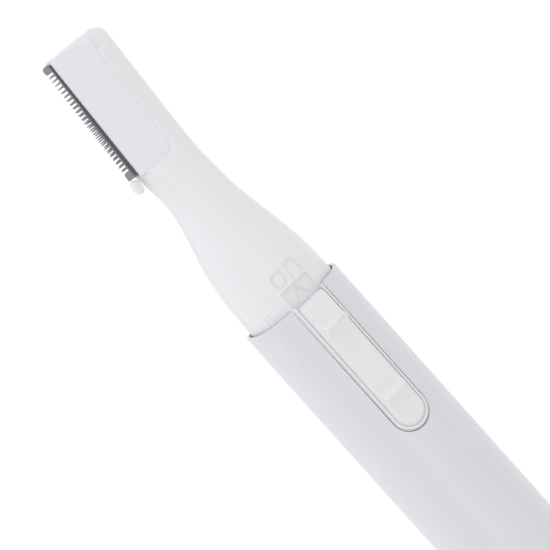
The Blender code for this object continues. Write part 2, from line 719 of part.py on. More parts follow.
def build_power():
    end = BATTERY_START_X + BATTERY_LENGTH
    nub = [(end, 0.0), (end, 1.9), (end - 0.8, 2.1), (end - 1.0, 4.6), (end - 1.5, BATTERY_RADIUS)]
    tail = [(BATTERY_START_X + 0.3, BATTERY_RADIUS), (BATTERY_START_X, 4.9), (BATTERY_START_X, 0.0)]
    turned("aaa_cell", [*nub, *tail], BATTERY_JACKET, 32)

    positive = box(
        "positive_contact", (BAY_END_X - 0.45, -3.4, -3.4), (BAY_END_X - 0.1, 3.4, 4.6), BRASS
    )
    join(
        positive,
        box(
            "tool_positive_tab",
            (BAY_END_X - 0.44, 3.2, 3.3),
            (BAY_END_X - 0.11, LEAD_CORNER + 0.4, LEAD_CORNER + 0.4),
        ),
    )
    negative = box(
        "negative_contact", (BAY_START_X + 0.1, -4.0, -3.4), (BAY_START_X + 0.4, 4.0, 4.4), BRASS
    )
    round_edges(negative, 0.12, 1)
    coil = []
    turns, steps = 3, 12
    start, stop = BAY_START_X + 0.75, BATTERY_START_X - 0.35
    for k in range(turns * steps + 1):
        share = k / (turns * steps)
        angle = 2 * math.pi * turns * share
        radius = 3.6 - 1.4 * share
        coil.append(
            (start + (stop - start) * share, radius * math.cos(angle), radius * math.sin(angle))
        )
    tube("battery_spring", coil, 0.28, SPRING_STEEL, resolution=1)

    rear, front = MOTOR_REAR_X, MOTOR_REAR_X + MOTOR_LENGTH
    can = [(front, 1.1), (front, 4.6), (front - 0.4, MOTOR_RADIUS), (rear, MOTOR_RADIUS)]
    can += [(rear, MOTOR_RADIUS - 0.4), (front - 0.5, MOTOR_RADIUS - 0.4), (front - 0.5, 1.1)]
    turned("motor_can", can, MOTOR_STEEL, 28)
    bell = [(rear + 1.8, 0.95), (rear + 1.8, 4.5), (rear + 0.1, 4.5), (rear + 0.1, 0.95)]
    turned("motor_end_bell", bell, DARK_ACETAL, 24)
    magnet = [(front - 1.6, 3.6), (front - 1.6, 4.5), (rear + 3.4, 4.5), (rear + 3.4, 3.6)]
    turned("motor_magnet", magnet, FERRITE, 24)
    rotor = [(front - 2.4, 0.85), (front - 2.4, 3.3), (rear + 4.2, 3.3), (rear + 4.2, 0.85)]
    turned("motor_rotor", rotor, LAMINATION, 20)
    cylinder("motor_shaft", (rear - 0.2, 0, 0), (CAM_START_X + 2.2, 0, 0), SHAFT_RADIUS, STEEL)
    for side, y in (("left", 2.6), ("right", -2.6)):
        cut_y = sorted((y - 0.7, y + 0.7))
        low_z = 0.25 if side == "left" else -0.15
        box(
            f"motor_terminal_{side}",
            (rear - 1.2, cut_y[0], low_z - 0.35),
            (rear + 0.05, cut_y[1], low_z),
            BRASS,
        )

    cam = cylinder(
        "eccentric_cam",
        (CAM_START_X, 0, 0),
        (CAM_START_X + CAM_LENGTH, 0, 0),
        1.7,
        NATURAL_ACETAL,
        sides=24,
    )
    pin_start = CAM_START_X + CAM_LENGTH
    join(
        cam,
        cylinder(
            "tool_crank_pin",
            (pin_start - 0.2, ECCENTRICITY, 0),
            (pin_start + CRANK_PIN_LENGTH, ECCENTRICITY, 0),
            CRANK_PIN_RADIUS,
            sides=14,
        ),
    )
    cut(cam, cylinder("tool_cam_bore", (CAM_START_X - 1, 0, 0), (CAM_START_X + 2.3, 0, 0), 0.83))


# ---------------------------------------------------------------- lever


def build_lever(head):
    pivot = head.matrix_local @ (Vector((LEVER_PIVOT_X, 0.0, 0.0)) * MM) / MM
    crank_x = CAM_START_X + CAM_LENGTH
    lever = cylinder(
        "drive_lever", (pivot.x, pivot.y, -0.9), (pivot.x, pivot.y, 0.9), 1.4, DARK_ACETAL
    )
    bridge_x = crank_x + CRANK_PIN_LENGTH + 0.4
    join(
        lever,
        box("tool_long_arm", (bridge_x + 0.3, -0.55, -0.45), (pivot.x, 0.65, 0.46)),
        box(
            "tool_fork_bridge",
            (bridge_x, -FORK_HALF_GAP - 0.6, -0.5),
            (bridge_x + 1.0, FORK_HALF_GAP + 0.6, 0.5),
        ),
    )
    for side, y in (("left", FORK_HALF_GAP), ("right", -FORK_HALF_GAP - 0.62)):
        join(
            lever,
            box(f"tool_fork_{side}", (crank_x + 0.4, y, -0.95), (bridge_x + 0.9, y + 0.62, 0.95)),
        )
    tip_x, tip_y = DRIVE_TIP
    join(
        lever,
        box("tool_short_arm", (LEVER_PIVOT_X, -0.5, -0.44), (tip_x + 0.35, 0.5, 0.45), frame=head),
        box("tool_finger", (tip_x - 0.35, -0.4, -0.43), (tip_x + 0.34, tip_y, 0.44), frame=head),
        cylinder(
            "tool_tip",
            (tip_x, tip_y, -0.48),
            (tip_x, tip_y, 0.48),
            DRIVE_TIP_RADIUS,
            frame=head,
        ),
    )
    cut(lever, cylinder("tool_pivot_bore", (*pivot.xy, -3), (*pivot.xy, 3), 0.62))
    cylinder("lever_pivot_pin", (*pivot.xy, -2.5), (*pivot.xy, 2.5), 0.5, STEEL, sides=14)
    return pivot


def add_pivot_bosses(pivot, front, rear):
    for name, shell, direction in (("front", front, 1), ("rear", rear, -1)):
        near, far = sorted((1.05 * direction, 2.9 * direction))
        join(shell, cylinder(f"tool_pivot_boss_{name}", (*pivot.xy, near), (*pivot.xy, far), 1.3))
        near, far = sorted((0.8 * direction, 2.6 * direction))
        cut(shell, cylinder(f"tool_pivot_hole_{name}", (*pivot.xy, near), (*pivot.xy, far), 0.58))


# ---------------------------------------------------------------- blade block


def toothed(start, end, back_y, root_y, tip_y, guard, teeth, tooth_share):
    """Outline of a toothed strip: a straight back and teeth between two solid end guards."""
    first = start + guard
    pitch = (end - start - 2 * guard) / (teeth + 1 - tooth_share)
    gap = pitch * (1 - tooth_share)
    width = pitch * tooth_share
    outline = [(start, back_y), (start, tip_y - 0.4), (start + 0.4, tip_y), (first - 0.2, tip_y)]
    outline += [(first, tip_y - 0.25), (first, root_y)]
    for k in range(teeth):
        x = first + gap + k * pitch
        outline += [(x, root_y), (x + 0.06, tip_y - 0.15), (x + width * 0.35, tip_y)]
        outline += [(x + width * 0.65, tip_y), (x + width - 0.06, tip_y - 0.15), (x + width, root_y)]
    last = end - guard
    outline += [(last, root_y), (last, tip_y - 0.25), (last + 0.2, tip_y), (end - 0.4, tip_y)]
    outline += [(end, tip_y - 0.4), (end, back_y)]
    return outline


def rounded_rectangle(low_x, low_y, high_x, high_y, radius, tail_corner=None, steps=4):
    """A rectangle with rounded corners; the one at low X and low Y can have its own radius."""
    tail = tail_corner or radius
    corners = (
        (high_x - radius, high_y - radius, radius, 0),
        (low_x + radius, high_y - radius, radius, 90),
        (low_x + tail, low_y + tail, tail, 180),
        (high_x - radius, low_y + radius, radius, 270),
    )
    return [point for x, y, r, start in corners for point in arc((x, y), r, start, start + 90, steps)]


def circle(x, y, radius, count=14):
    return arc((x, y), radius, 0, 360 - 360 / count, count - 1)


def build_blade_block(head):
    right_y = POCKET_SIDE_Y + FIT_GAP
    tip_x = COVER_TIP_X
    stakes = ((6.6, 2.3), (15.8, 2.3))

    outline = rounded_rectangle(
        POCKET_END_X + FIT_GAP, right_y, tip_x, COVER_LEFT_Y, 0.3, POCKET_CORNER - FIT_GAP
    )
    low, high = COVER_FRONT_Z - COVER_THICKNESS, COVER_FRONT_Z
    cover = plate("blade_cover", [outline], low, high, WHITE, head)
    round_edges(cover, 0.2)

    clamp_outline = rounded_rectangle(
        0.1, right_y + 0.3, tip_x - 0.1, CLAMP_LEFT_Y, 0.2, POCKET_CORNER - FIT_GAP
    )
    holes = [circle(x, y, 0.7) for x, y in stakes]
    plate("blade_clamp", [clamp_outline, *holes], 1.22, low - 0.05, DARK_ACETAL, head)

    comb = toothed(
        COMB_START, COMB_END, 0.4, COMB_ROOT_Y, COMB_TIP_Y, END_GUARD, COMB_TEETH, 0.5
    )
    plate("comb_blade", [comb, *holes], COMB_Z, COMB_Z + COMB_THICKNESS, STEEL, head)

    cutter = toothed(0.75, 19.6, 0.7, COMB_ROOT_Y - 0.1, COMB_TIP_Y - 0.2, 0.6, CUTTER_TEETH, 0.5)
    slots = []
    for x, y in stakes:
        slots.append(arc((x + 0.4, y), 0.7, -90, 90, 6) + arc((x - 0.4, y), 0.7, 90, 270, 6))
    pegs = ((1.15, 3.2), (3.25, 3.2))
    peg_holes = [circle(x, y, 0.36, 10) for x, y in pegs]
    top = CUTTER_Z + CUTTER_THICKNESS
    plate("cutter_blade", [cutter, *slots, *peg_holes], CUTTER_Z, top, STEEL, head)

    tip_x0, tip_y0 = DRIVE_TIP
    slot_half = DRIVE_TIP_RADIUS + 0.06
    slot_end = tip_y0 + DRIVE_TIP_RADIUS + 0.45
    fork = [
        (tip_x0 - 1.5, 1.7),
        (tip_x0 - slot_half, 1.7),
        (tip_x0 - slot_half, slot_end),
        (tip_x0 + slot_half, slot_end),
        (tip_x0 + slot_half, 1.7),
        (tip_x0 + 1.5, 1.7),
        (tip_x0 + 1.5, slot_end + 0.3),
        (tip_x0 - 1.5, slot_end + 0.3),
    ]
    follower = plate("cutter_follower", [fork], -0.9, CUTTER_Z - 0.04, DARK_ACETAL, head)
    for k, (x, y) in enumerate(pegs):
        join(
            follower,
            cylinder(f"tool_peg_{k}", (x, y, 0.4), (x, y, top - 0.03), 0.3, frame=head, sides=10),
        )

    bottom, shelf = POCKET_FLOOR_Z + FIT_GAP, CUTTER_Z - 0.05
    holder = box("blade_holder", (4.5, right_y, bottom), (HEAD_LENGTH - 0.15, WALL_LEFT_Y, shelf), WHITE, head)
    join(
        holder,
        box("tool_outer_wall", (POCKET_END_X + FIT_GAP, 4.85, bottom), (4.8, WALL_LEFT_Y, shelf), frame=head),
        plate(
            "tool_nub",
            [rounded_rectangle(-2.0, 5.15, 0.6, 6.0, 0.4)],
            bottom + 0.2,
            shelf - 0.01,
            frame=head,
        ),
        plate(
            "tool_nub_top",
            [rounded_rectangle(-2.1, 5.16, -0.22, NUB_LEFT_Y, 0.6)],
            0.0,
            1.6,
            frame=head,
        ),
    )
    cut(
        holder,
        box("tool_spring_recess", (8.4, 0.3, -0.5), (14.0, 4.2, 2.0), frame=head),
        box("tool_underside", (7.0, 0.2, -4.0), (15.4, 4.3, -1.0), frame=head),
    )
    for k, (x, y) in enumerate(stakes):
        stake = cylinder(
            f"tool_stake_{k}", (x, y, shelf - 0.3), (x, y, low - 0.1), 0.6, frame=head, sides=14
        )
        join(holder, stake)

    wave = []
    for k in range(13):
        x = 8.9 + 4.6 * k / 12
        wave.append((x, 2.25 + (1.2 if k % 2 else -1.2), 0.02 + 0.38 * math.sin(math.pi * k / 12)))
    tube("cutter_spring", wave, 0.16, SPRING_STEEL, head, resolution=1)


def build():
    head = bpy.data.objects.new("head_frame", None)
    TOOLS.objects.link(head)
    turn = Matrix.Rotation(-math.radians(HEAD_CANT), 4, "Z")
    head.matrix_local = Matrix.Translation((HEAD_BASE_X * MM, 0.0, 0.0)) @ turn

    build_barrel()
    front, rear = build_shells(head)
    build_screws()
    build_switch()
    build_wiring()
    build_power()
    add_pivot_bosses(build_lever(head), front, rear)
    build_blade_block(head)


clear_scene()
PARTS = new_collection("parts")
TOOLS = new_collection("boolean_tools")
build()
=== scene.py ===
"""Visual model of the pen-shaped trimmer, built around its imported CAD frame.

The frame is in metres, with the trimmer along X, its switch facing +Z and its blade facing +Y.
Lengths in this script are in millimetres and MM turns them into metres. Heights and widths that
the CAD sets are repeated here so that each detailed piece fills the space of the node it replaces.
"""

import math
from contextlib import contextmanager

import bmesh
import bpy
from mathutils import Matrix, Vector


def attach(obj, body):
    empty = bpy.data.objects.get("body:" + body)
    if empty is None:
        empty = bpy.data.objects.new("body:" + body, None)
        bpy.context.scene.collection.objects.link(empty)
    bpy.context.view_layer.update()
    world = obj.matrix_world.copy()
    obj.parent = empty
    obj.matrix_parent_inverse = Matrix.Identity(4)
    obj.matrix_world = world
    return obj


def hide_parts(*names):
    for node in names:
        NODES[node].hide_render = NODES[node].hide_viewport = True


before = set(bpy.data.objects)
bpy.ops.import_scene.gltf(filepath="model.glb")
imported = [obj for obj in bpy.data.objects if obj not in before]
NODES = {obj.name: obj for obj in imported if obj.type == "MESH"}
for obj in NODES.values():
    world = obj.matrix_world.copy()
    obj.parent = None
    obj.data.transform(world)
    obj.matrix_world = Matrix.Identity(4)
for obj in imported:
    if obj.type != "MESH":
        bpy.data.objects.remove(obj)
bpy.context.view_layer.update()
MM = 0.001

# ---------------- dimensions

BARREL_HALF, BARREL_WALL, MOUTH_X, SOFT_SQUARE = 8.0, 0.5, 95.0, 2.4
CAP_FLANGE, CAP_SPIGOT, CAP_ROUNDING = 2.4, 4.6, 1.2
SLOT_HALF, SLOT_LENGTH = 3.06, 24.75
CHASSIS_HALF, CHASSIS_TAIL_X, WALL, NECK_WALL, PARTING_GAP = 7.18, 8.5, 1.2, 1.0, 0.1
BAY_START_X, BAY_END_X, BULKHEAD = 9.7, 59.2, 1.0
NECK_LENGTH, CANT_START = 28.0, 21.0
HEAD_BASE_X, HEAD_LENGTH, HEAD_CANT = MOUTH_X + NECK_LENGTH, 20.08, 4.0
HEAD_HALF_WIDTH, HEAD_CENTRE_Y, HEAD_HALF_THICKNESS, HEAD_CORNER = 4.88, 0.08, 2.85, 1.65
POCKET_SIDE_Y, POCKET_CORNER, POCKET_FLOOR_Z, POCKET_END_X = -1.45, 1.1, -1.65, -0.27
SPINE_STEP_X = 16.85  # where the spine beside the panel drops, along the head
NECK = (  # past the barrel's mouth, half width, centre, half thickness, squareness
    (0.0, 7.18, 0.00, 7.18, 2.4),
    (3.0, 7.15, 0.02, 7.15, 2.4),
    (6.0, 6.97, 0.06, 6.95, 2.4),
    (9.0, 6.62, 0.08, 6.50, 2.4),
    (12.0, 6.12, 0.09, 5.85, 2.4),
    (14.5, 5.54, -0.03, 5.20, 2.45),
    (17.0, 5.04, -0.13, 4.60, 2.5),
    (19.5, 4.65, -0.30, 4.10, 2.55),
    (22.0, 4.45, -0.38, 3.75, 2.6),
    (24.6, 4.52, -0.18, 3.40, 2.7),
    (NECK_LENGTH, 4.85, 0.03, 3.05, 2.8),
)
RIM_HALF, RIM_TOP_Z, RIM_LEDGE_Z, TRACK_HALF = 2.78, 8.15, 7.6, 2.48
SWITCH_FLOOR_Z, SWITCH_FLOOR_UNDERSIDE, SWITCH_TRAVEL = 6.72, 5.25, 2.8
SLIDER_FRONT_X, SLIDER_LENGTH, SLIDER_HALF = MOUTH_X - 0.4, 23.2, 2.13
SLIDER_FRONT_Z, SLIDER_VALLEY_Z, SLIDER_TAIL_Z = 9.4, 8.8, 8.6
STEM_CENTRE_X, STEM_HALF_X, SWITCH_BASE_TOP_Z = 75.5, 1.5, 1.4
BATTERY_RADIUS, BATTERY_START_X, BATTERY_LENGTH = 5.25, 14.0, 44.5
SCREW_X, SCREW_Y, LEAD_CORNER = 66.5, 2.6, 4.05
LEVER_PIVOT_X = -2.5  # along the head
FIT_GAP, PRESS_FIT = 0.15, 0.06
COVER_LEFT_Y, COVER_TIP_X, COVER_FRONT_Z, COVER_THICKNESS = 4.95, 20.3, 2.5, 0.75
CLAMP_LEFT_Y, WALL_LEFT_Y, NUB_LEFT_Y = 5.03, 5.3, 6.36
COMB_START, COMB_END, COMB_ROOT_Y, COMB_TIP_Y = -0.05, 20.05, 5.4, 6.27
COMB_TEETH, COMB_GUARD, COMB_Z, COMB_THICKNESS = 26, 1.2, 0.92, 0.25
CUTTER_START, CUTTER_END, CUTTER_GUARD = 0.52, 19.6, 0.7
CUTTER_TEETH, CUTTER_Z, CUTTER_THICKNESS = 25, 0.65, 0.22
TOOTH_SHARE = 0.4  # of the pitch; the rest is the gap
STAKES = ((6.6, 2.3), (15.8, 2.3))

RING_POINTS = 144
HOLLOW_POINTS = 64
FILLET_STEPS = 4
SAME_POINT = 0.000001  # metres
CASE_EDGE = 0.07  # width of the small bevel along the case's edges

HEAD = Matrix.Translation((HEAD_BASE_X * MM, 0.0, 0.0)) @ Matrix.Rotation(
    -math.radians(HEAD_CANT), 4, "Z"
)

# ---------------- materials


class Nodes:
    """Short-hand for one material's node tree."""

    def __init__(self, name, roughness, metallic=0.0, **fixed):
        self.material = bpy.data.materials.new(name)
        self.material.use_nodes = True
        self.tree = self.material.node_tree
        self.shader = self.tree.nodes["Principled BSDF"]
        for key, value in {"Roughness": roughness, "Metallic": metallic, **fixed}.items():
            self.shader.inputs[key.replace("_", " ")].default_value = value
        self.coords = self.tree.nodes.new("ShaderNodeTexCoord").outputs["Object"]

    def link(self, output, socket):
        self.tree.links.new(output, socket)

    def node(self, kind, inputs, **settings):
        """A node whose inputs are given as values, or as the outputs that feed them."""
        made = self.tree.nodes.new(kind)
        for key, value in settings.items():
            setattr(made, key, value)
        for key, value in inputs.items():
            if isinstance(value, bpy.types.NodeSocket):
                self.link(value, made.inputs[key])
            else:
                made.inputs[key].default_value = value
        return made

    def stretched(self, scale):
        """Object coordinates scaled along each axis."""
        return self.node("ShaderNodeMapping", {"Scale": scale, "Vector": self.coords}).outputs["Vector"]

    def noise(self, scale, detail=3.0, rough=0.5, vector=None):
        """Noise whose features are about 1000 / scale millimetres across."""
        inputs = {"Scale": scale, "Detail": detail, "Roughness": rough, "Vector": vector or self.coords}
        return self.node("ShaderNodeTexNoise", inputs).outputs["Fac"]

    def cells(self, scale):
        inputs = {"Scale": scale, "Vector": self.coords}
        return self.node("ShaderNodeTexVoronoi", inputs).outputs["Distance"]

    def spread(self, value, low, high, start=0.3, end=0.7):
        """Maps start..end onto low..high."""
        inputs = {"From Min": start, "From Max": end, "To Min": low, "To Max": high, "Value": value}
        return self.node("ShaderNodeMapRange", inputs).outputs["Result"]

    def ramp(self, value, stops):
        made = self.node("ShaderNodeValToRGB", {"Fac": value})
        elements = made.color_ramp.elements
        while len(elements) < len(stops):
            elements.new(0.5)
        for element, (position, colour) in zip(elements, stops):
            element.position = position
            element.color = (*colour, 1.0)
        return made.outputs["Color"]

    def mix(self, factor, a, b, blend="MIX"):
        inputs = {"Factor": factor, "A": a, "B": b}
        for key, value in inputs.items():
            if isinstance(value, tuple):
                inputs[key] = (*value, 1.0)
        made = self.node("ShaderNodeMix", inputs, data_type="RGBA", blend_type=blend)
        return made.outputs["Result"]

    def bump(self, *layers):
        """Bump from (height, depth in millimetres) layers."""
        before = {}
        for height, depth in layers:
            inputs = {"Strength": 1.0, "Distance": depth * MM, "Height": height, **before}
            before = {"Normal": self.node("ShaderNodeBump", inputs).outputs["Normal"]}
        self.link(before["Normal"], self.shader.inputs["Normal"])

    def colour(self, output):
        self.link(output, self.shader.inputs["Base Color"])

    def rough(self, output):
        self.link(output, self.shader.inputs["Roughness"])


def shade(colour, factor):
    return tuple(min(1.0, channel * factor) for channel in colour)


def moulded(name, colour, roughness, grain=0.0012, mottling=0.012, painted_gap_shade=None, **fixed):
    """Moulded plastic: soft flow marks in the colour, a fine spark-eroded grain and uneven gloss.
    With painted_gap_shade, painted shade of that colour gathers where surfaces stand less than a
    millimetre apart."""
    made = Nodes(name, roughness, **fixed)
    flow = made.noise(45.0, 4.0, 0.6, made.stretched((0.35, 1.0, 1.0)))
    stops = [(0.25, shade(colour, 1 - mottling)), (0.75, shade(colour, 1 + mottling))]
    body = made.ramp(flow, stops)
    if painted_gap_shade:
        # Painted shade: ambient occlusion pulls the colour towards a warm brown in narrow gaps.
        shut = made.node("ShaderNodeAmbientOcclusion", {"Distance": 0.45 * MM}, samples=8)
        body = made.mix(made.spread(shut.outputs["AO"], 1.0, 0.0, 0.0, 0.22), body, painted_gap_shade)
    made.colour(body)
    made.rough(made.spread(made.noise(700.0), roughness - 0.05, roughness + 0.06))
    made.bump((made.noise(150.0, 2.0), grain * 4), (made.noise(6500.0, 2.0), grain))
    return made.material


def metal(name, colour, roughness, lines=(300.0, 9000.0, 9000.0), depth=0.0012, tint=0.06):
    """Rolled or ground metal: fine lines along one direction and a patchy sheen."""
    made = Nodes(name, roughness, 1.0)
    scratch = made.noise(1.0, 4.0, 0.65, made.stretched(lines))
    patch = made.noise(260.0, 3.0)
    stops = [(0.3, shade(colour, 1 - tint)), (0.7, shade(colour, 1 + tint))]
    made.colour(made.ramp(made.mix(0.5, patch, scratch), stops))
    made.rough(made.spread(scratch, roughness - 0.07, roughness + 0.1))
    made.bump((scratch, depth))
    return made.material


def barrel_paint():
    """Pearl lacquer over drawn aluminium: fine flakes and orange peel under a clear coat."""
    base = (0.689, 0.684, 0.724)
    made = Nodes("barrel_pearl_paint", 0.4, 0.12, Coat_Weight=0.25, Coat_Roughness=0.25)
    flakes = made.cells(9000.0)
    speckle = made.noise(5200.0, 2.0, 0.7)
    cloud = made.noise(70.0, 4.0, 0.55, made.stretched((0.25, 1.0, 1.0)))
    ground = made.ramp(speckle, [(0.3, shade(base, 0.972)), (0.7, shade(base, 1.022))])
    share = made.spread(cloud, 0.0, 0.5)
    made.colour(made.mix(share, ground, made.mix(1.0, ground, shade((1, 0.985, 1), 0.985), "MULTIPLY")))
    made.rough(made.spread(flakes, 0.33, 0.47, 0.1, 0.7))
    made.bump((made.noise(900.0, 2.0), 0.0012), (made.noise(4300.0, 3.0, 0.7), 0.0011))
    return made.material


def battery_jacket():
    """Printed film: a plain green body with a pale band at the positive end, and bare metal ends."""
    made = Nodes("cell_film", 0.3, 0.25, Coat_Weight=0.4, Coat_Roughness=0.15)
    split = made.node("ShaderNodeSeparateXYZ", {"Vector": made.coords})
    start, end = BATTERY_START_X, BATTERY_START_X + BATTERY_LENGTH
    along = made.spread(split.outputs["X"], 0.0, 1.0, start * MM, end * MM)
    steel, green, pale = (0.55, 0.55, 0.56), (0.035, 0.16, 0.095), (0.62, 0.64, 0.62)
    stops = [(0.0, steel), (0.016, green), (0.70, shade(green, 1.15)), (0.715, pale), (0.735, pale)]
    stops += [(0.75, shade(green, 0.7)), (0.965, shade(green, 0.7)), (0.972, steel)]
    printed = made.ramp(along, stops)
    printed.node.color_ramp.interpolation = "CONSTANT"
    grain = made.ramp(made.noise(1400.0), [(0.3, (0.93, 0.93, 0.93)), (0.7, (1.0, 1.0, 1.0))])
    made.colour(made.mix(1.0, printed, grain, "MULTIPLY"))
    made.rough(made.spread(made.noise(500.0), 0.24, 0.36))
    made.bump((made.noise(260.0, 2.0), 0.006))
    return made.material


WHITE = (0.760, 0.760, 0.770)
PANEL_WHITE = (0.768, 0.758, 0.800)
# Painted shade for narrow gaps, mixed into the white plastic by ambient occlusion.
PAINTED_GAP_SHADE = (0.62, 0.52, 0.46)  # warm shade that gathers in narrow gaps
LOOKS = {
    "white_abs": moulded("white_abs_moulded", WHITE, 0.34, painted_gap_shade=PAINTED_GAP_SHADE, Specular_IOR_Level=0.45),
    "panel_abs": moulded("panel_abs_moulded", PANEL_WHITE, 0.34, Specular_IOR_Level=0.45),
    "barrel_paint": barrel_paint(),
    "blade_steel": metal("ground_blade_steel", (0.29, 0.283, 0.287), 0.3),
    # Dark navy plastic for the motor's end bell, switch base, lever and follower. On the clamp plate it
    # is also painted shade, standing for the shadowed gap under the panel's edge.
    "dark_acetal": moulded("navy_acetal_and_gap_shade", (0.082, 0.087, 0.130), 0.42, 0.0016, 0.12),
    "natural_acetal": moulded("natural_acetal_moulded", (0.72, 0.71, 0.66), 0.4, 0.0016, 0.02),
    "brass": metal("stamped_brass", (0.68, 0.50, 0.22), 0.28),
    "spring_steel": metal("drawn_spring_wire", (0.55, 0.55, 0.57), 0.26),
    "motor_steel": metal("drawn_motor_can", (0.58, 0.58, 0.60), 0.32, (4000.0, 500.0, 500.0)),
    "ferrite": moulded("pressed_ferrite", (0.055, 0.055, 0.06), 0.62, 0.004, 0.2),
    "lamination": metal("stacked_laminations", (0.36, 0.3, 0.26), 0.45, (9000.0, 60, 60), 0.006, 0.2),
    "cell_jacket": battery_jacket(),
    "red_pvc": moulded("red_lead_sleeve", (0.50, 0.03, 0.025), 0.42, 0.002, 0.06),
    "black_pvc": moulded("black_lead_sleeve", (0.018, 0.018, 0.02), 0.42, 0.002, 0.15),
    "pin_steel": metal("pin_steel", (0.58, 0.58, 0.6), 0.22, (9000.0, 9000.0, 300.0)),
}

# ---------------- mesh tools

TOOLS = []


def new_object(name, data):
    obj = bpy.data.objects.new(name, data)
    bpy.context.scene.collection.objects.link(obj)
    return obj


def new_mesh(name, build, matrix=None):
    bm = bmesh.new()
    build(bm)
    bmesh.ops.recalc_face_normals(bm, faces=bm.faces)
    if matrix is not None:
        bmesh.ops.transform(bm, matrix=matrix, verts=bm.verts)
    mesh = bpy.data.meshes.new(name)
    bm.to_mesh(mesh)
    bm.free()
    return new_object(name, mesh)


@contextmanager
def editing(mesh):
    """A mesh opened for bmesh operators and written back."""
    bm = bmesh.new()
    bm.from_mesh(mesh)
    yield bm
    bm.to_mesh(mesh)
    bm.free()


def bridge(bm, rows, closed=False):
    """Quads between neighbouring rings of equally many vertices."""
    for near, far in zip(rows, rows[1:] + rows[:1] if closed else rows[1:]):
        for k in range(len(near)):
            n = (k + 1) % len(near)
            bm.faces.new((near[k], near[n], far[n], far[k]))


def loft(name, rings, matrix=None, seam=False):
    """A closed body through rings of equally many points in millimetres. With seam, the last ring
    has shrunk to a line that is welded instead of capped."""

    def build(bm):
        rows = [[bm.verts.new(Vector(point) * MM) for point in ring] for ring in rings]
        bridge(bm, rows)
        bm.faces.new(list(reversed(rows[0])))
        if seam:
            bmesh.ops.remove_doubles(bm, verts=rows[-1], dist=SAME_POINT)
            bmesh.ops.dissolve_degenerate(bm, edges=bm.edges, dist=SAME_POINT)
        else:
            bm.faces.new(rows[-1])

    return new_mesh(name, build, matrix)


def offset(outline, distance):
    """A counter-clockwise outline moved out by a distance (in where it is negative)."""
    if not distance:
        return list(outline)
    moved = []
    count = len(outline)
    for k in range(count):
        before, here, after = (Vector(outline[i % count]) for i in (k - 1, k, k + 1))
        first, second = (here - before).normalized(), (after - here).normalized()
        normal = Vector((first.y + second.y, -first.x - second.x))
        share = normal.length_squared / 2
        moved.append(tuple(here + normal * (distance / max(share, 0.35))))
    return moved


def counter_clockwise(outline):
    area = sum(a[0] * b[1] - b[0] * a[1] for a, b in zip(outline, outline[1:] + outline[:1]))
    return list(outline) if area > 0 else list(reversed(outline))


def quarter(steps):
    """Angles from nothing to a right angle."""
    return [math.radians(90 * k / steps) for k in range(steps + 1)]


def slab(name, outline, low, high, top=0.0, bottom=0.0, matrix=None, steps=FILLET_STEPS):
    """An extruded outline whose top and bottom edges are rounded by a radius each."""
    outline = counter_clockwise(outline)
    levels = []
    for at, radius, side in ((low, bottom, -1), (high, top, 1)):
        turns = [(at, 0.0)]
        if radius:
            turns = [(1 - math.sin(a), 1 - math.cos(a)) for a in quarter(steps)]
            turns = [(at - side * radius * drop, -radius * inset) for drop, inset in turns]
        levels += list(reversed(turns)) if side < 0 else turns
    rings = [[(x, y, z) for x, y in offset(outline, out)] for z, out in levels]
    return loft(name, rings, matrix)


def flared_slab(name, outline, low, surface, flare):
    """A tool that cuts an outline down to low and rounds the edge it leaves in a flat surface."""
    outline = counter_clockwise(outline)
    levels = [(low, 0.0)]
    for a in quarter(FILLET_STEPS):
        levels.append((surface - flare * (1 - math.sin(a)), flare * (1 - math.cos(a))))
    levels.append((surface + 8.0, flare))
    return loft(name, [[(x, y, z) for x, y in offset(outline, out)] for z, out in levels])


def plate(name, outlines, low, high, matrix=None):
    """A flat piece from closed outlines, the inner ones being holes."""
    curve = bpy.data.curves.new(name, "CURVE")
    curve.dimensions = "2D"
    curve.fill_mode = "BOTH"
    curve.extrude = (high - low) / 2 * MM
    for outline in outlines:
        spline = curve.splines.new("POLY")
        spline.points.add(len(outline) - 1)
        for point, (x, y) in zip(spline.points, outline):
            point.co = (x * MM, y * MM, 0.0, 1.0)
        spline.use_cyclic_u = True
    flat = new_object(name + "_outline", curve)
    bpy.context.view_layer.update()
    mesh = bpy.data.meshes.new_from_object(flat.evaluated_get(bpy.context.evaluated_depsgraph_get()))
    bpy.data.objects.remove(flat)
    lift = (matrix or Matrix()) @ Matrix.Translation((0.0, 0.0, (high + low) / 2 * MM))

    def build(bm):
        bm.from_mesh(mesh)
        bmesh.ops.remove_doubles(bm, verts=bm.verts, dist=SAME_POINT)

    obj = new_mesh(name, build, lift)
    bpy.data.meshes.remove(mesh)
    return obj


def block(name, low, high, matrix=None):
    (x0, y0, z0), (x1, y1, z1) = low, high
    return slab(name, [(x0, y0), (x1, y0), (x1, y1), (x0, y1)], z0, z1, matrix=matrix)


def round_angles(sides):
    return [2 * math.pi * k / sides for k in range(sides)]


def rod(name, start, end, radius, matrix=None):
    """A round bar between two points, in millimetres."""
    a, b = Vector(start), Vector(end)
    turn = (b - a).to_track_quat("Z", "Y").to_matrix()
    spokes = [turn @ Vector((radius * math.cos(t), radius * math.sin(t), 0)) for t in round_angles(32)]
    return loft(name, [[centre + spoke for spoke in spokes] for centre in (a, b)], matrix)


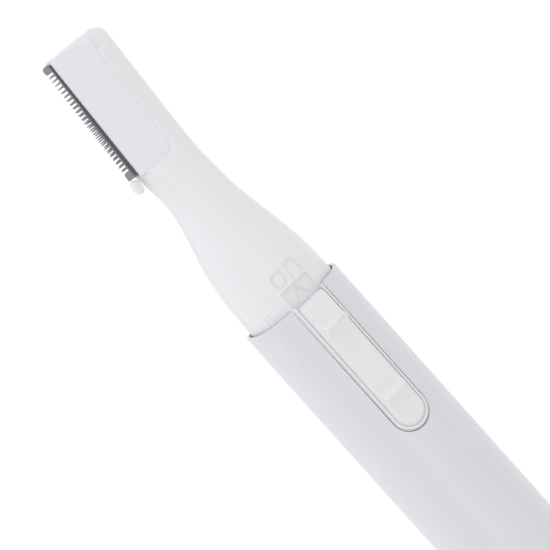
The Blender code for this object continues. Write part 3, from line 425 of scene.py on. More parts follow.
def groove(name, path, radius, closed=False):
    """A thin round tool swept along a path of points, in millimetres."""
    points = [Vector(p) for p in path]
    rings = []
    count = len(points)
    for k, here in enumerate(points):
        before = points[(k - 1) % count] if closed or k else here
        after = points[(k + 1) % count] if closed or k < count - 1 else here
        ahead = (after - before).normalized()
        side = ahead.cross(Vector((0, 0, 1))).normalized()
        up = side.cross(ahead)
        spokes = [side * math.cos(a) + up * math.sin(a) for a in round_angles(10)]
        rings.append([here + spoke * radius for spoke in spokes])

    def build(bm):
        rows = [[bm.verts.new(point * MM) for point in ring] for ring in rings]
        bridge(bm, rows, closed)
        if not closed:
            bm.faces.new(rows[0])
            bm.faces.new(rows[-1])

    return new_mesh(name, build)


def boolean(obj, other, operation):
    """A boolean with another solid, which from then on only serves as a tool."""
    other.hide_render = True
    if other not in TOOLS:
        TOOLS.append(other)
    modifier = obj.modifiers.new(operation.lower(), "BOOLEAN")
    modifier.operation = operation
    modifier.object = other
    modifier.solver = "EXACT"


def cut(obj, *others):
    for other in others:
        boolean(obj, other, "DIFFERENCE")


def join(obj, *others):
    for other in others:
        boolean(obj, other, "UNION")


def apply(obj):
    """Makes an object's modifiers part of its mesh."""
    bpy.context.view_layer.update()
    graph = bpy.context.evaluated_depsgraph_get()
    mesh = bpy.data.meshes.new_from_object(obj.evaluated_get(graph))
    old = obj.data
    obj.modifiers.clear()
    obj.data = mesh
    bpy.data.meshes.remove(old)


def smooth(obj, edge=0.0, sharp=32.0, limit=40.0, segments=2, weld=0.002):
    """Final shading: booleans made part of the mesh, slivers welded, edges sharper than limit
    bevelled, and weighted normals that stay sharp beyond an angle."""
    if len(obj.modifiers):
        apply(obj)
    with editing(obj.data) as bm:
        bmesh.ops.remove_doubles(bm, verts=bm.verts, dist=weld * MM)
        bmesh.ops.dissolve_degenerate(bm, edges=bm.edges, dist=weld * MM)
    if edge:
        bevel = obj.modifiers.new("edges", "BEVEL")
        bevel.width = edge * MM
        bevel.segments = segments
        bevel.limit_method = "ANGLE"
        bevel.angle_limit = math.radians(limit)
        bevel.use_clamp_overlap = False
        bevel.miter_outer = "MITER_ARC"
        apply(obj)
    with editing(obj.data) as bm:
        bmesh.ops.triangulate(bm, faces=[face for face in bm.faces if len(face.verts) > 4])
        bmesh.ops.dissolve_degenerate(bm, edges=bm.edges, dist=SAME_POINT)
    obj.data.shade_smooth()
    obj.data.set_sharp_from_angle(angle=math.radians(sharp))
    weighted = obj.modifiers.new("normals", "WEIGHTED_NORMAL")
    weighted.keep_sharp = True
    apply(obj)


def paint(obj, look):
    obj.data.materials.clear()
    obj.data.materials.append(LOOKS[look])


def dress(obj, body, look, *nodes):
    """Gives a finished piece its look, its body and the CAD nodes that it stands for."""
    paint(obj, look)
    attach(obj, body)
    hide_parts(*nodes)


# ---------------- shapes shared with the CAD


def soft_square(half_y, half_z, exponent, count):
    points = []
    for k in range(count):
        angle = 2 * math.pi * (k + 0.5) / count
        c, s = math.cos(angle), math.sin(angle)
        y = math.copysign(abs(c) ** (2 / exponent), c) * half_y
        z = math.copysign(abs(s) ** (2 / exponent), s) * half_z
        points.append((y, z))
    return points


def ring_at(x, half_y, half_z, exponent, centre_y=0.0, turn=0.0, count=RING_POINTS):
    across = Vector((-math.sin(math.radians(turn)), math.cos(math.radians(turn)), 0.0))
    centre = Vector((x, centre_y, 0.0))
    section = soft_square(half_y, half_z, exponent, count)
    return [centre + across * y + Vector((0, 0, z)) for y, z in section]


def square_ring(x, half, count=RING_POINTS):
    return ring_at(x, half, half, SOFT_SQUARE, count=count)


def smooth_value(table, x, column):
    """A column of a table read between its rows by monotone cubic interpolation."""
    xs = [row[0] for row in table]
    ys = [row[column] for row in table]
    if x <= xs[0]:
        return ys[0]
    if x >= xs[-1]:
        return ys[-1]
    steps = [(ys[i + 1] - ys[i]) / (xs[i + 1] - xs[i]) for i in range(len(xs) - 1)]
    slopes = [steps[0]]
    for before, after in zip(steps, steps[1:]):
        slopes.append(0.0 if before * after <= 0 else 2 * before * after / (before + after))
    slopes.append(steps[-1])
    i = max(k for k in range(len(xs) - 1) if xs[k] <= x)
    width = xs[i + 1] - xs[i]
    t = (x - xs[i]) / width
    return (
        (2 * t**3 - 3 * t**2 + 1) * ys[i]
        + (t**3 - 2 * t**2 + t) * width * slopes[i]
        + (3 * t**2 - 2 * t**3) * ys[i + 1]
        + (t**3 - t**2) * width * slopes[i + 1]
    )


def smooth_step(t):
    t = min(1.0, max(0.0, t))
    return t * t * (3 - 2 * t)


def neck_ring(past, inset, count=RING_POINTS):
    half_y, centre_y, half_z, exponent = (smooth_value(NECK, past, c) for c in (1, 2, 3, 4))
    turn = -HEAD_CANT * smooth_step((past - CANT_START) / (NECK_LENGTH - CANT_START))
    half_y, half_z = half_y - inset, half_z - inset
    return ring_at(MOUTH_X + past, half_y, half_z, exponent, centre_y, turn, count)


def head_ring(along):
    """A ring of the head. It settles from the neck's last size and rounds off towards the tip,
    more on the spine's side than in thickness."""
    cant = math.radians(HEAD_CANT)
    past_corner = max(0.0, along - (HEAD_LENGTH - HEAD_CORNER))
    drawn_in = HEAD_CORNER - math.sqrt(max(0.0, HEAD_CORNER**2 - past_corner**2))
    edge = 0.8
    past_edge = max(0.0, along - (HEAD_LENGTH - edge))
    thinner = edge - math.sqrt(max(0.0, edge**2 - past_edge**2))
    settle = smooth_step(along / 6.0)
    base_half_z = NECK[-1][3]
    half_y = HEAD_HALF_WIDTH - 0.03 * (1 - settle) - drawn_in / 2
    half_z = base_half_z + (HEAD_HALF_THICKNESS - base_half_z) * settle - thinner * 0.8
    across = HEAD_CENTRE_Y - 0.05 * (1 - settle) + drawn_in / 2
    x = HEAD_BASE_X + along * math.cos(cant) + across * math.sin(cant)
    y = -along * math.sin(cant) + across * math.cos(cant)
    return ring_at(x, half_y, half_z, 2.8, y, -HEAD_CANT)


def front_surface_z(x, y):
    """Height of the neck's front surface at a point."""
    past = x - MOUTH_X
    half_y, centre_y, half_z, exponent = (smooth_value(NECK, past, c) for c in (1, 2, 3, 4))
    share = min(1.0, abs(y - centre_y) / half_y)
    return half_z * (1 - share**exponent) ** (1 / exponent)


def arc(centre, radius, start, end, steps):
    return [
        (centre[0] + radius * math.cos(a), centre[1] + radius * math.sin(a))
        for a in (math.radians(start + (end - start) * k / steps) for k in range(steps + 1))
    ]


def rounded_tail(start_x, end_x, half, corner=0.0, steps=24):
    """A slot's outline: round at its low X end, square or slightly rounded at the other."""
    if corner:
        nose = arc((end_x - corner, -half + corner), corner, -90, 0, 4)
        nose += arc((end_x - corner, half - corner), corner, 0, 90, 4)
    else:
        nose = [(end_x, -half), (end_x, half)]
    return [*nose, *arc((start_x + half, 0.0), half, 90, 270, steps)]


def rounded_rectangle(low_x, low_y, high_x, high_y, radius, tail_corner=None):
    tail = tail_corner or radius
    corners = (
        (high_x - radius, high_y - radius, radius, 0),
        (low_x + radius, high_y - radius, radius, 90),
        (low_x + tail, low_y + tail, tail, 180),
        (high_x - radius, low_y + radius, radius, 270),
    )
    return [point for x, y, r, start in corners for point in arc((x, y), r, start, start + 90, 6)]


def circle(x, y, radius, count=28):
    return arc((x, y), radius, 0, 360 - 360 / count, count - 1)


def toothed(start, end, back_y, root_y, tip_y, guard, teeth):
    """Outline of a toothed strip: a straight back and pointed teeth between two solid end guards,
    of which the one at the tip has the rounder outer corner."""
    first, last = start + guard, end - guard
    pitch = (last - first) / (teeth + 1 - TOOTH_SHARE)
    gap, width = pitch * (1 - TOOTH_SHARE), pitch * TOOTH_SHARE
    root, base_corner, inner_corner, tip_corner = gap / 2, 0.18, 0.25, 0.45
    outline = [(start, back_y)]
    outline += arc((start + base_corner, tip_y - base_corner), base_corner, 180, 90, 5)
    outline += arc((first - inner_corner, tip_y - inner_corner), inner_corner, 90, 0, 4)
    outline += [(first, root_y)]
    for k in range(teeth):
        x = first + gap + k * pitch
        outline += arc((x - root, root_y), root, 180, 360, 6)[1:]
        outline += [(x + 0.05, tip_y - 0.2), (x + width * 0.3, tip_y - 0.03)]
        outline += [(x + width * 0.5, tip_y), (x + width * 0.7, tip_y - 0.03)]
        outline += [(x + width - 0.05, tip_y - 0.2), (x + width, root_y)]
    outline += arc((last - root, root_y), root, 180, 360, 6)[1:]
    outline += arc((last + inner_corner, tip_y - inner_corner), inner_corner, 180, 90, 4)
    outline += arc((end - tip_corner, tip_y - tip_corner), tip_corner, 90, 0, 5)
    outline += [(end, root_y - 0.25), (end - 0.25, root_y - 0.4), (end - 0.25, back_y)]
    return outline


# ---------------- barrel


def build_sleeve():
    """A drawn tube whose two ends are broken by hand, with the switch's slot milled in its mouth."""
    start, inner, lip = CAP_FLANGE + 0.1, BARREL_HALF - BARREL_WALL, 0.12
    outside = [(start, -lip), (start + 0.04, -0.04), (start + lip, 0.0), (30.0, 0.0), (60.0, 0.0)]
    outside += [(MOUTH_X - SLOT_LENGTH - 2, 0.0), (MOUTH_X - lip, 0.0), (MOUTH_X - 0.04, -0.04)]
    outside += [(MOUTH_X, -lip)]
    rings = [square_ring(x, BARREL_HALF + out) for x, out in outside]
    rings += [square_ring(x, inner) for x in (MOUTH_X, 60.0, 30.0, start)]

    def build(bm):
        bridge(bm, [[bm.verts.new(point * MM) for point in ring] for ring in rings], closed=True)

    sleeve = new_mesh("barrel_tube", build)
    slot = rounded_tail(MOUTH_X - SLOT_LENGTH, MOUTH_X + 5, SLOT_HALF, steps=40)
    cut(sleeve, slab("tool_slot", slot, 4.0, 12.0))
    smooth(sleeve, 0.06, limit=50.0)
    dress(sleeve, "sleeve", "barrel_paint", "barrel_sleeve")


def build_tail_cap():
    """A plug with a shallow dished end, whose hollow spigot holds it in the tube."""
    spigot, tip = BARREL_HALF - BARREL_WALL - 0.3, CAP_FLANGE + CAP_SPIGOT
    profile = [(0.35, 5.2), (0.35, 5.9), (0.0, 6.2)]
    for a in quarter(8):
        half = BARREL_HALF - CAP_ROUNDING * (1 - math.sin(a))
        profile.append((CAP_ROUNDING * (1 - math.cos(a)), half))
    profile += [(CAP_FLANGE - 0.12, BARREL_HALF), (CAP_FLANGE, BARREL_HALF - 0.12)]
    profile += [(CAP_FLANGE, spigot), (tip - 0.4, spigot), (tip, spigot - 0.25)]
    profile += [(tip, spigot - WALL), (CAP_FLANGE - 0.6, spigot - WALL)]
    cap = loft("tail_cap", [square_ring(x, half) for x, half in profile])
    smooth(cap, 0.05)
    dress(cap, "sleeve", "white_abs", "barrel_end_cap")


# ---------------- case


def chassis_body(name):
    rings = [square_ring(CHASSIS_TAIL_X, CHASSIS_HALF - 0.2)]
    rings += [square_ring(x, CHASSIS_HALF) for x in (CHASSIS_TAIL_X + 0.2, 30.0, 55.0, 75.0, 90.0)]
    rings += [neck_ring(0.75 * k, 0.0) for k in range(37)]
    rings += [head_ring(0.75 * k) for k in range(24)]
    last = HEAD_LENGTH - HEAD_CORNER
    rings += [head_ring(last + HEAD_CORNER * math.sin(a)) for a in quarter(12)]
    rings.append(head_ring(HEAD_LENGTH + 0.05))
    return loft(name, rings)


def cavities():
    half = CHASSIS_HALF - WALL
    n = HOLLOW_POINTS
    bay = [square_ring(x, half, n) for x in (BAY_START_X, BAY_END_X)]
    room = [square_ring(BAY_END_X + BULKHEAD, half, n)]
    room += [neck_ring(x, WALL, n) for x in (0, 4, 8, 12)]
    room += [neck_ring(x, NECK_WALL, n) for x in (16, 18, 20, 22, 24, 26, 28.0)]
    return [loft("tool_battery_bay", bay), loft("tool_motor_room", room)]


def head_pocket():
    """The blade block's pocket, and the slope that breaks the pocket's edge just above the panel."""
    far, proud, width = 40.0, 0.07, 0.8
    corner = (POCKET_END_X + POCKET_CORNER, POCKET_SIDE_Y + POCKET_CORNER)
    outline = [(far, POCKET_SIDE_Y), (far, far), (POCKET_END_X, far)]
    outline = counter_clockwise(outline + arc(corner, POCKET_CORNER, 180, 270, 10))
    low = COVER_FRONT_Z + proud
    slope = [[(x, y, low + out) for x, y in offset(outline, out)] for out in (0.0, width)]
    return [
        slab("tool_blade_pocket", outline, POCKET_FLOOR_Z, far, matrix=HEAD),
        loft("tool_pocket_edge", slope, HEAD),
    ]


def lead_notches():
    return [
        rod(f"tool_notch_{i}", (BAY_END_X - 1, y, LEAD_CORNER), (BAY_END_X + 3, y, LEAD_CORNER), 0.8)
        for i, y in enumerate((-LEAD_CORNER, LEAD_CORNER))
    ]


def case_rib(name, angle):
    """A guide rib with a ball end, on which the barrel's mouth is centred."""
    y, z = (7.4 * f(math.radians(angle)) for f in (math.cos, math.sin))
    radius, start, end = 0.46, MOUTH_X - 8, MOUTH_X + 2.1
    ball = (0.0, 0.4, 0.8, 1.15, 1.45)
    profile = [(start, radius)]
    profile += [(end - radius + radius * math.sin(a), radius * math.cos(a)) for a in ball]
    turns = round_angles(16)
    rings = [[(x, y + r * math.cos(t), z + r * math.sin(t)) for t in turns] for x, r in profile]
    return loft(name, rings)


def on_surface(points, lift):
    return [(x, y, front_surface_z(x, y) + lift) for x, y in points]


def engraved_word():
    """The word "on", sunk into the front of the neck beside the arrow."""
    low, high = MOUTH_X + 3.15, MOUTH_X + 5.55
    middle, lift, radius = (low + high) / 2, 0.07, 0.24
    ring = [(middle + 1.02 * math.cos(a), 1.2 + 0.98 * math.sin(a)) for a in round_angles(40)]
    left, right = -0.72, -2.38
    arch = arc((high - 0.83, (left + right) / 2), 0.83, -90, 90, 16)
    stem = [(high, left), (middle, left), (low, left)]
    hook = [(low, right), (middle, right), *arch]
    return [
        groove("tool_letter_o", on_surface(ring, lift), radius, closed=True),
        groove("tool_letter_n_stem", on_surface(stem, lift), radius),
        groove("tool_letter_n_arch", on_surface(hook, lift * 0.96), radius),
    ]


def side_tool(name, profile, side_y):
    """A tool across the head with the same (x, z) profile on both sides."""
    return loft(name, [[(x, y, z) for x, z in profile] for y in side_y], HEAD)


def spine_scoop():
    """What is missing in front of the spine's last few millimetres: a short slope, then a ledge
    that falls away towards the tip."""
    profile = [(SPINE_STEP_X - 0.1, 2.98), (SPINE_STEP_X, 2.84), (SPINE_STEP_X + 0.55, 2.3)]
    profile += [(SPINE_STEP_X + 0.85, 2.18), (HEAD_LENGTH - 1.3, 2.12), (HEAD_LENGTH - 0.5, 1.9)]
    profile += [(HEAD_LENGTH + 0.6, 1.3), (HEAD_LENGTH + 0.6, 6.0), (SPINE_STEP_X - 0.1, 6.0)]
    return side_tool("tool_spine_scoop", profile, (POCKET_SIDE_Y + 1.0, -7.0))


def tip_underside():
    """Rounds the tip from the blade's level down to the back of the head."""
    end = HEAD_LENGTH
    profile = [(end + 0.6, 1.2), (end - 0.02, -0.5), (end - 0.25, -1.5), (end - 0.7, -2.2)]
    profile += [(end - 1.35, -2.62), (end - 2.3, -2.9), (end - 2.3, -6.0), (end + 4.0, -6.0)]
    profile += [(end + 4.0, 1.2)]
    return side_tool("tool_tip_underside", profile, (8.0, -8.0))


def pivot_bosses(shell, direction):
    pivot = HEAD @ (Vector((LEVER_PIVOT_X, 0.0, 0.0)) * MM) / MM
    near, far = sorted((1.05 * direction, 2.9 * direction))
    join(shell, rod(f"tool_boss_{direction}", (*pivot.xy, near), (*pivot.xy, far), 1.3))
    near, far = sorted((0.8 * direction, 2.6 * direction))
    cut(shell, rod(f"tool_hole_{direction}", (*pivot.xy, near), (*pivot.xy, far), 0.58))


def rim_ledge():
    """The step beside the rim that closes the barrel's slot. Its gap widens towards the tail on the
    blade's side, because the barrel sits a little turned."""
    wide, narrow = SLOT_HALF - 0.03, SLOT_HALF - 0.13
    centre = (MOUTH_X - SLOT_LENGTH + SLOT_HALF - 0.04, (narrow - wide) / 2)
    front = MOUTH_X - 0.1
    return [(front, -wide), (front, wide), *arc(centre, (narrow + wide) / 2, 90, 270, 24)]


def build_front_case(hollows, pocket):
    front = chassis_body("front_case")
    cut(front, *hollows, block("tool_below", (-40, -40, -40), (160, 40, PARTING_GAP / 2)))
    rim = rounded_tail(MOUTH_X - SLOT_LENGTH + 0.3, MOUTH_X, RIM_HALF, 0.25)
    join(front, slab("tool_rim", rim, SWITCH_FLOOR_UNDERSIDE, RIM_TOP_Z, 0.18))
    join(front, slab("tool_rim_ledge", rim_ledge(), SWITCH_FLOOR_UNDERSIDE, RIM_LEDGE_Z))
    floor_low = (MOUTH_X - 2, -RIM_HALF, SWITCH_FLOOR_UNDERSIDE)
    join(front, block("tool_recess_floor", floor_low, (MOUTH_X + 4, RIM_HALF, CHASSIS_HALF - 0.5)))
    track_end = SLIDER_FRONT_X + SWITCH_TRAVEL + 0.3
    track = rounded_tail(MOUTH_X - SLOT_LENGTH + 0.8, track_end, TRACK_HALF, 0.12)
    cut(front, flared_slab("tool_track", track, SWITCH_FLOOR_Z, RIM_TOP_Z, 0.1))
    slot_end = STEM_CENTRE_X + STEM_HALF_X + SWITCH_TRAVEL + 0.4
    stem_slot = rounded_tail(STEM_CENTRE_X - STEM_HALF_X - 1.0, slot_end, 1.3)
    cut(front, slab("tool_stem_slot", stem_slot, 3.0, 9.0))
    arrow = [(MOUTH_X - 0.1, -1.45), (MOUTH_X + 2.3, 0.0), (MOUTH_X - 0.1, 1.45)]
    cut(front, slab("tool_arrow", arrow, SWITCH_FLOOR_Z - 0.22, 7.8))
    for side, y in (("left", SCREW_Y), ("right", -SCREW_Y)):
        join(front, rod(f"tool_screw_boss_{side}", (SCREW_X, y, 0.05), (SCREW_X, y, 5.6), 1.5))
        cut(front, rod(f"tool_pilot_{side}", (SCREW_X, y, -1), (SCREW_X, y, 3.9), 0.8))
        low, high = sorted((math.copysign(4.3, y), math.copysign(6.3, y)))
        rib_low = (71, low, SWITCH_BASE_TOP_Z + 0.1)
        join(front, block(f"tool_clamp_rib_{side}", rib_low, (84, high, 3)))
    cut(front, *lead_notches(), *pocket, spine_scoop())
    join(front, case_rib("tool_rib_a", 42), case_rib("tool_rib_b", 138))
    cut(front, *engraved_word())
    pivot_bosses(front, 1)
    smooth(front, CASE_EDGE, weld=0.01)
    dress(front, "chassis", "white_abs", "front_shell")


def build_rear_case(hollows, pocket):
    rear = chassis_body("rear_case")
    cut(rear, *hollows, block("tool_above", (-40, -40, -PARTING_GAP / 2), (160, 40, 40)))
    for side, y in (("left", SCREW_Y), ("right", -SCREW_Y)):
        join(rear, rod(f"tool_post_{side}", (SCREW_X, y, -5.65), (SCREW_X, y, -0.05), 2.3))
        cut(rear, rod(f"tool_clearance_{side}", (SCREW_X, y, -9), (SCREW_X, y, 1), 1.0))
        cut(rear, rod(f"tool_counterbore_{side}", (SCREW_X, y, -9), (SCREW_X, y, -4.3), 1.75))
        low, high = sorted((math.copysign(4.3, y), math.copysign(6.3, y)))
        join(rear, block(f"tool_ledge_{side}", (71, low, -3.0), (84, high, -PARTING_GAP)))
    window = rounded_rectangle(13.0, -5.35, 57.5, 5.35, 0.8)
    cut(rear, slab("tool_battery_window", window, -12, 3.0), pocket[0], tip_underside())
    join(rear, case_rib("tool_rib_c", 222), case_rib("tool_rib_d", 318))
    pivot_bosses(rear, -1)
    smooth(rear, CASE_EDGE)
    dress(rear, "chassis", "white_abs", "rear_shell")


# ---------------- switch

# Height of the slider's top by distance behind its front edge: front, crest, valley, crest, tail.
CRESTS = [(0.0, SLIDER_FRONT_Z - 0.04), (3.6, SLIDER_FRONT_Z), (4.0, SLIDER_FRONT_Z + 0.1)]
CRESTS += [(4.35, SLIDER_FRONT_Z + 0.45), (4.68, 10.18), (4.85, 10.2), (5.1, 10.06)]
CRESTS += [(5.7, 9.5), (6.3, 9.06), (7.2, SLIDER_VALLEY_Z + 0.03), (8.4, SLIDER_VALLEY_Z)]
CRESTS += [(16.4, SLIDER_VALLEY_Z), (16.85, SLIDER_VALLEY_Z + 0.07)]
CRESTS += [(17.25, SLIDER_VALLEY_Z + 0.47), (17.6, 9.7), (17.78, 9.73), (18.05, 9.6)]
CRESTS += [(18.6, 9.1), (19.2, 8.76), (20.1, SLIDER_TAIL_Z), (23.3, SLIDER_TAIL_Z - 0.05)]
SLIDER_DRAFT = 0.14  # how fast the crests narrow above the valley
SLIDER_FLANGE = 0.31  # how far the slider's foot fills the gap beside it
SLIDER_FLARE = 0.2  # how much wider its side is at the foot than at the top
SLIDER_LEAN = 0.22  # how far its front leans back


def slider_outline(inset, lean=0.0):
    """The thumb piece's plan, drawn in by inset, with points close together along its length and
    its front moved back by lean."""
    front, tail = SLIDER_FRONT_X - lean - max(0.0, inset), SLIDER_FRONT_X - SLIDER_LENGTH
    half = SLIDER_HALF - inset
    centre_x = tail + SLIDER_HALF
    corner = max(0.0, 0.3 - inset)
    steps = 110
    side = [centre_x + (front - corner - centre_x) * k / steps for k in range(steps + 1)]
    outline = [(x, half) for x in side]
    outline += arc((front - corner, half - corner), corner, 90, 0, 5)[1:]
    outline += [(front, (half - corner) * (1 - k / 4)) for k in range(1, 8)]
    outline += arc((front - corner, -half + corner), corner, 0, -90, 5)
    outline += [(x, -half) for x in reversed(side)][1:]
    return outline + arc((centre_x, 0.0), half, 270, 90, 30)[1:-1]


def build_slider():
    """The thumb piece: a flat foot in the track, flared sides, and a rounded top with two crests
    whose last rings shrink to the middle line. The stem below reaches the switch."""
    rounding, break_width = 0.2, 0.04
    bottom = SWITCH_FLOOR_Z + 0.1
    insets = [rounding * (1 - math.cos(a)) for a in quarter(5)]
    drops = [rounding * (1 - math.sin(a)) for a in quarter(5)]
    insets += [0.4, 0.7, 1.05, 1.4, 1.75, 2.0, SLIDER_HALF]
    drops += [0.0] * 7

    def top(x, drop):
        return smooth_value(CRESTS, SLIDER_FRONT_X - x, 1) - drop

    def upper(inset, drop):
        """The outline on the slider's top, narrower where a crest stands above the valley."""
        ring = []
        for x, y in slider_outline(inset, SLIDER_LEAN):
            z = top(x, drop)
            narrowing = SLIDER_DRAFT * max(0.0, z + drop - SLIDER_VALLEY_Z) / SLIDER_HALF
            ring.append((x, y * (1 - narrowing), z))
        return ring

    foot_top = RIM_TOP_Z - 0.07
    levels = (
        (bottom, SLIDER_FLANGE - 0.06),
        (bottom + 0.06, SLIDER_FLANGE),
        (foot_top - break_width, SLIDER_FLANGE),
        (foot_top, SLIDER_FLANGE - break_width),
        (foot_top, SLIDER_FLARE + break_width),
        (foot_top + break_width, SLIDER_FLARE),
    )
    rings = [[(x, y, z) for x, y in slider_outline(-out)] for z, out in levels]
    sides = list(zip(rings[-1], upper(0.0, drops[0])))
    for level in (0.33, 0.66):
        rings.append([[a + (b - a) * level for a, b in zip(low, high)] for low, high in sides])
    rings += [upper(inset, drop) for inset, drop in zip(insets, drops)]
    slider = loft("thumb_slider", rings, seam=True)
    stem_low, stem_high = (STEM_CENTRE_X - STEM_HALF_X, -1.1, 3.0), (STEM_CENTRE_X + STEM_HALF_X, 1.1)
    join(slider, block("tool_stem", stem_low, (*stem_high, SWITCH_FLOOR_Z + 0.4)))
    smooth(slider, 0.0, 38.0)
    dress(slider, "switch", "white_abs", "switch_slider")


# ---------------- blade block


def build_panel():
    """The cover over the blade. It narrows towards its foot, meets the pocket's walls without a
    visible gap, and wraps over the tip with a bevel that widens towards the spine."""
    low, high = COVER_FRONT_Z - COVER_THICKNESS, COVER_FRONT_Z
    right, foot, tail = POCKET_SIDE_Y - PRESS_FIT, POCKET_END_X - PRESS_FIT, POCKET_CORNER + PRESS_FIT
    left, tip, corner = COVER_LEFT_Y, COVER_TIP_X - 0.1, 0.35
    outline = arc((tip - corner, left + 0.05 - corner), corner, 0, 90, 6)
    outline += arc((foot + 0.1, left - 0.2 - 0.1), 0.1, 90, 180, 4)
    outline += arc((foot + tail, right + tail), tail, 180, 270, 12)
    outline += [(tip, right)]
    panel = slab("blade_panel", outline, low, high, matrix=HEAD)
    inside = tip - 0.24
    skirt = [(inside, right), (tip, right), (tip, left - 0.3), (tip - 0.1, left - 0.05), (inside, left)]
    join(panel, slab("tool_skirt", skirt, POCKET_FLOOR_Z + 0.1, low + 0.2, matrix=HEAD))
    apply(panel)
    # The bevel at the tip starts along the line from near to far.
    near, far, slope = Vector((19.1, -1.44, high)), Vector((20.12, 3.2, high)), math.radians(42)
    along = (far - near).normalized()
    out = Vector((along.y, -along.x, 0.0))
    normal = out * math.sin(slope) + Vector((0, 0, 1)) * math.cos(slope)
    with editing(panel.data) as bm:
        result = bmesh.ops.bisect_plane(
            bm,
            geom=[*bm.verts, *bm.edges, *bm.faces],
            plane_co=HEAD @ (near * MM),
            plane_no=HEAD.to_3x3() @ normal,
            clear_outer=True,
        )
        rim = [e for e in result["geom_cut"] if isinstance(e, bmesh.types.BMEdge)]
        bmesh.ops.holes_fill(bm, edges=rim)
        bmesh.ops.recalc_face_normals(bm, faces=bm.faces)
    smooth(panel, 0.05, 25.0, 20.0)
    dress(panel, "blade_block", "panel_abs", "blade_cover")


def build_blades():
    """The clamp plate, the fixed comb and the moving cutter, with holes for the carrier's stakes."""
    hole = 0.7
    holes = [circle(x, y, hole) for x, y in STAKES]
    right = POCKET_SIDE_Y + FIT_GAP
    clamp_outline = rounded_rectangle(0.1, right + 0.3, COVER_TIP_X - 0.4, CLAMP_LEFT_Y, 0.2, 0.95)
    low = COVER_FRONT_Z - COVER_THICKNESS
    clamp = plate("clamp_plate", [clamp_outline, *holes], 1.22, low - 0.05, HEAD)
    smooth(clamp, 0.05)
    # Painted shade: the clamp plate is coloured dark so that its edge shows as the shadowed gap under
    # the panel.
    dress(clamp, "blade_block", "dark_acetal", "blade_clamp")

    comb = toothed(COMB_START, COMB_END, 0.4, COMB_ROOT_Y, COMB_TIP_Y, COMB_GUARD, COMB_TEETH)
    strip = plate("comb_strip", [comb, *holes], COMB_Z, COMB_Z + COMB_THICKNESS, HEAD)
    smooth(strip, 0.025, limit=60.0, segments=1)
    dress(strip, "blade_block", "blade_steel", "comb_blade")

    root_y, tip_y = COMB_ROOT_Y - 0.1, COMB_TIP_Y - 0.2
    outline = toothed(CUTTER_START, CUTTER_END, 0.7, root_y, tip_y, CUTTER_GUARD, CUTTER_TEETH)
    slots = []
    for x, y in STAKES:
        slots.append(arc((x + 0.4, y), hole, -90, 90, 12) + arc((x - 0.4, y), hole, 90, 270, 12))
    pegs = [circle(x, 3.2, 0.36, 20) for x in (1.15, 3.25)]
    top = CUTTER_Z + CUTTER_THICKNESS
    moving = plate("cutter_strip", [outline, *slots, *pegs], CUTTER_Z, top, HEAD)
    smooth(moving, 0.02, limit=60.0, segments=1)
    dress(moving, "cutter", "blade_steel", "cutter_blade")


def build_carrier():
    """The tray that holds the blades, open below for the lever, with the nub to push it out by."""
    right, bottom, shelf = POCKET_SIDE_Y + FIT_GAP, POCKET_FLOOR_Z + FIT_GAP, CUTTER_Z - 0.05
    plan = rounded_rectangle(4.5, right, HEAD_LENGTH - 0.15, WALL_LEFT_Y, 0.25)
    holder = slab("blade_carrier", plan, bottom, shelf, 0.06, 0.12, HEAD)
    wall = rounded_rectangle(POCKET_END_X + FIT_GAP, 4.85, 4.8, WALL_LEFT_Y - 0.02, 0.15)
    join(holder, slab("tool_outer_wall", wall, bottom + 0.02, shelf - 0.03, 0.06, 0.12, HEAD))
    foot = rounded_rectangle(-2.2, 5.0, 0.15, 5.7, 0.3)
    join(holder, slab("tool_nub", foot, bottom + 0.25, shelf - 0.07, 0.0, 0.3, HEAD))
    nub = rounded_rectangle(-2.5, 5.2, -0.3, NUB_LEFT_Y, 0.55)
    join(holder, slab("tool_nub_top", nub, 0.0, 1.6, 0.35, 0.0, HEAD, 6))
    cut(
        holder,
        block("tool_spring_recess", (8.4, 0.3, -0.5), (14.0, 4.2, 2.0), HEAD),
        block("tool_underside", (7.0, 0.2, -4.0), (15.4, 4.3, -1.0), HEAD),
    )
    top = COVER_FRONT_Z - COVER_THICKNESS - 0.1
    for k, (x, y) in enumerate(STAKES):
        join(holder, rod(f"tool_stake_{k}", (x, y, shelf - 0.3), (x, y, top), 0.6, matrix=HEAD))
    smooth(holder, 0.04)
    dress(holder, "blade_block", "white_abs", "blade_holder")


# ---------------- battery


def build_battery():
    """An AAA cell: crimped negative end, shrink film with turned-in edges, stepped positive nub."""
    start, end, radius = BATTERY_START_X, BATTERY_START_X + BATTERY_LENGTH, BATTERY_RADIUS
    profile = [(start, 0.0), (start, 3.9), (start + 0.08, 4.1), (start + 0.22, 4.2), (start + 0.1, 4.4)]
    profile += [(start + 0.02, 4.6), (start + 0.06, 4.85), (start + 0.2, 5.08), (start + 0.45, radius)]
    profile += [(end - 1.9, radius), (end - 1.65, 5.18), (end - 1.5, 5.0), (end - 1.45, 4.75)]
    profile += [(end - 1.55, 4.6), (end - 1.5, 4.4), (end - 1.2, 4.2), (end - 1.1, 2.3)]
    profile += [(end - 0.95, 2.05), (end - 0.8, 1.95), (end - 0.15, 1.9), (end - 0.04, 1.8)]
    profile += [(end, 1.6), (end, 0.0)]
    sides = 96

    def build(bm):
        rows = []
        for x, r in profile:
            if r == 0:
                rows.append([bm.verts.new((x * MM, 0, 0))])
                continue
            ring = [Vector((x, r * math.cos(a), r * math.sin(a))) for a in round_angles(sides)]
            rows.append([bm.verts.new(point * MM) for point in ring])
        for near, far in zip(rows, rows[1:]):
            for k in range(sides):
                n = (k + 1) % sides
                face = [near[k % len(near)], near[n % len(near)], far[n % len(far)], far[k % len(far)]]
                bm.faces.new(list(dict.fromkeys(face)))

    cell = new_mesh("aaa_battery", build)
    smooth(cell, 0.0, 50.0)
    dress(cell, "chassis", "cell_jacket", "aaa_cell")


# ---------------- build

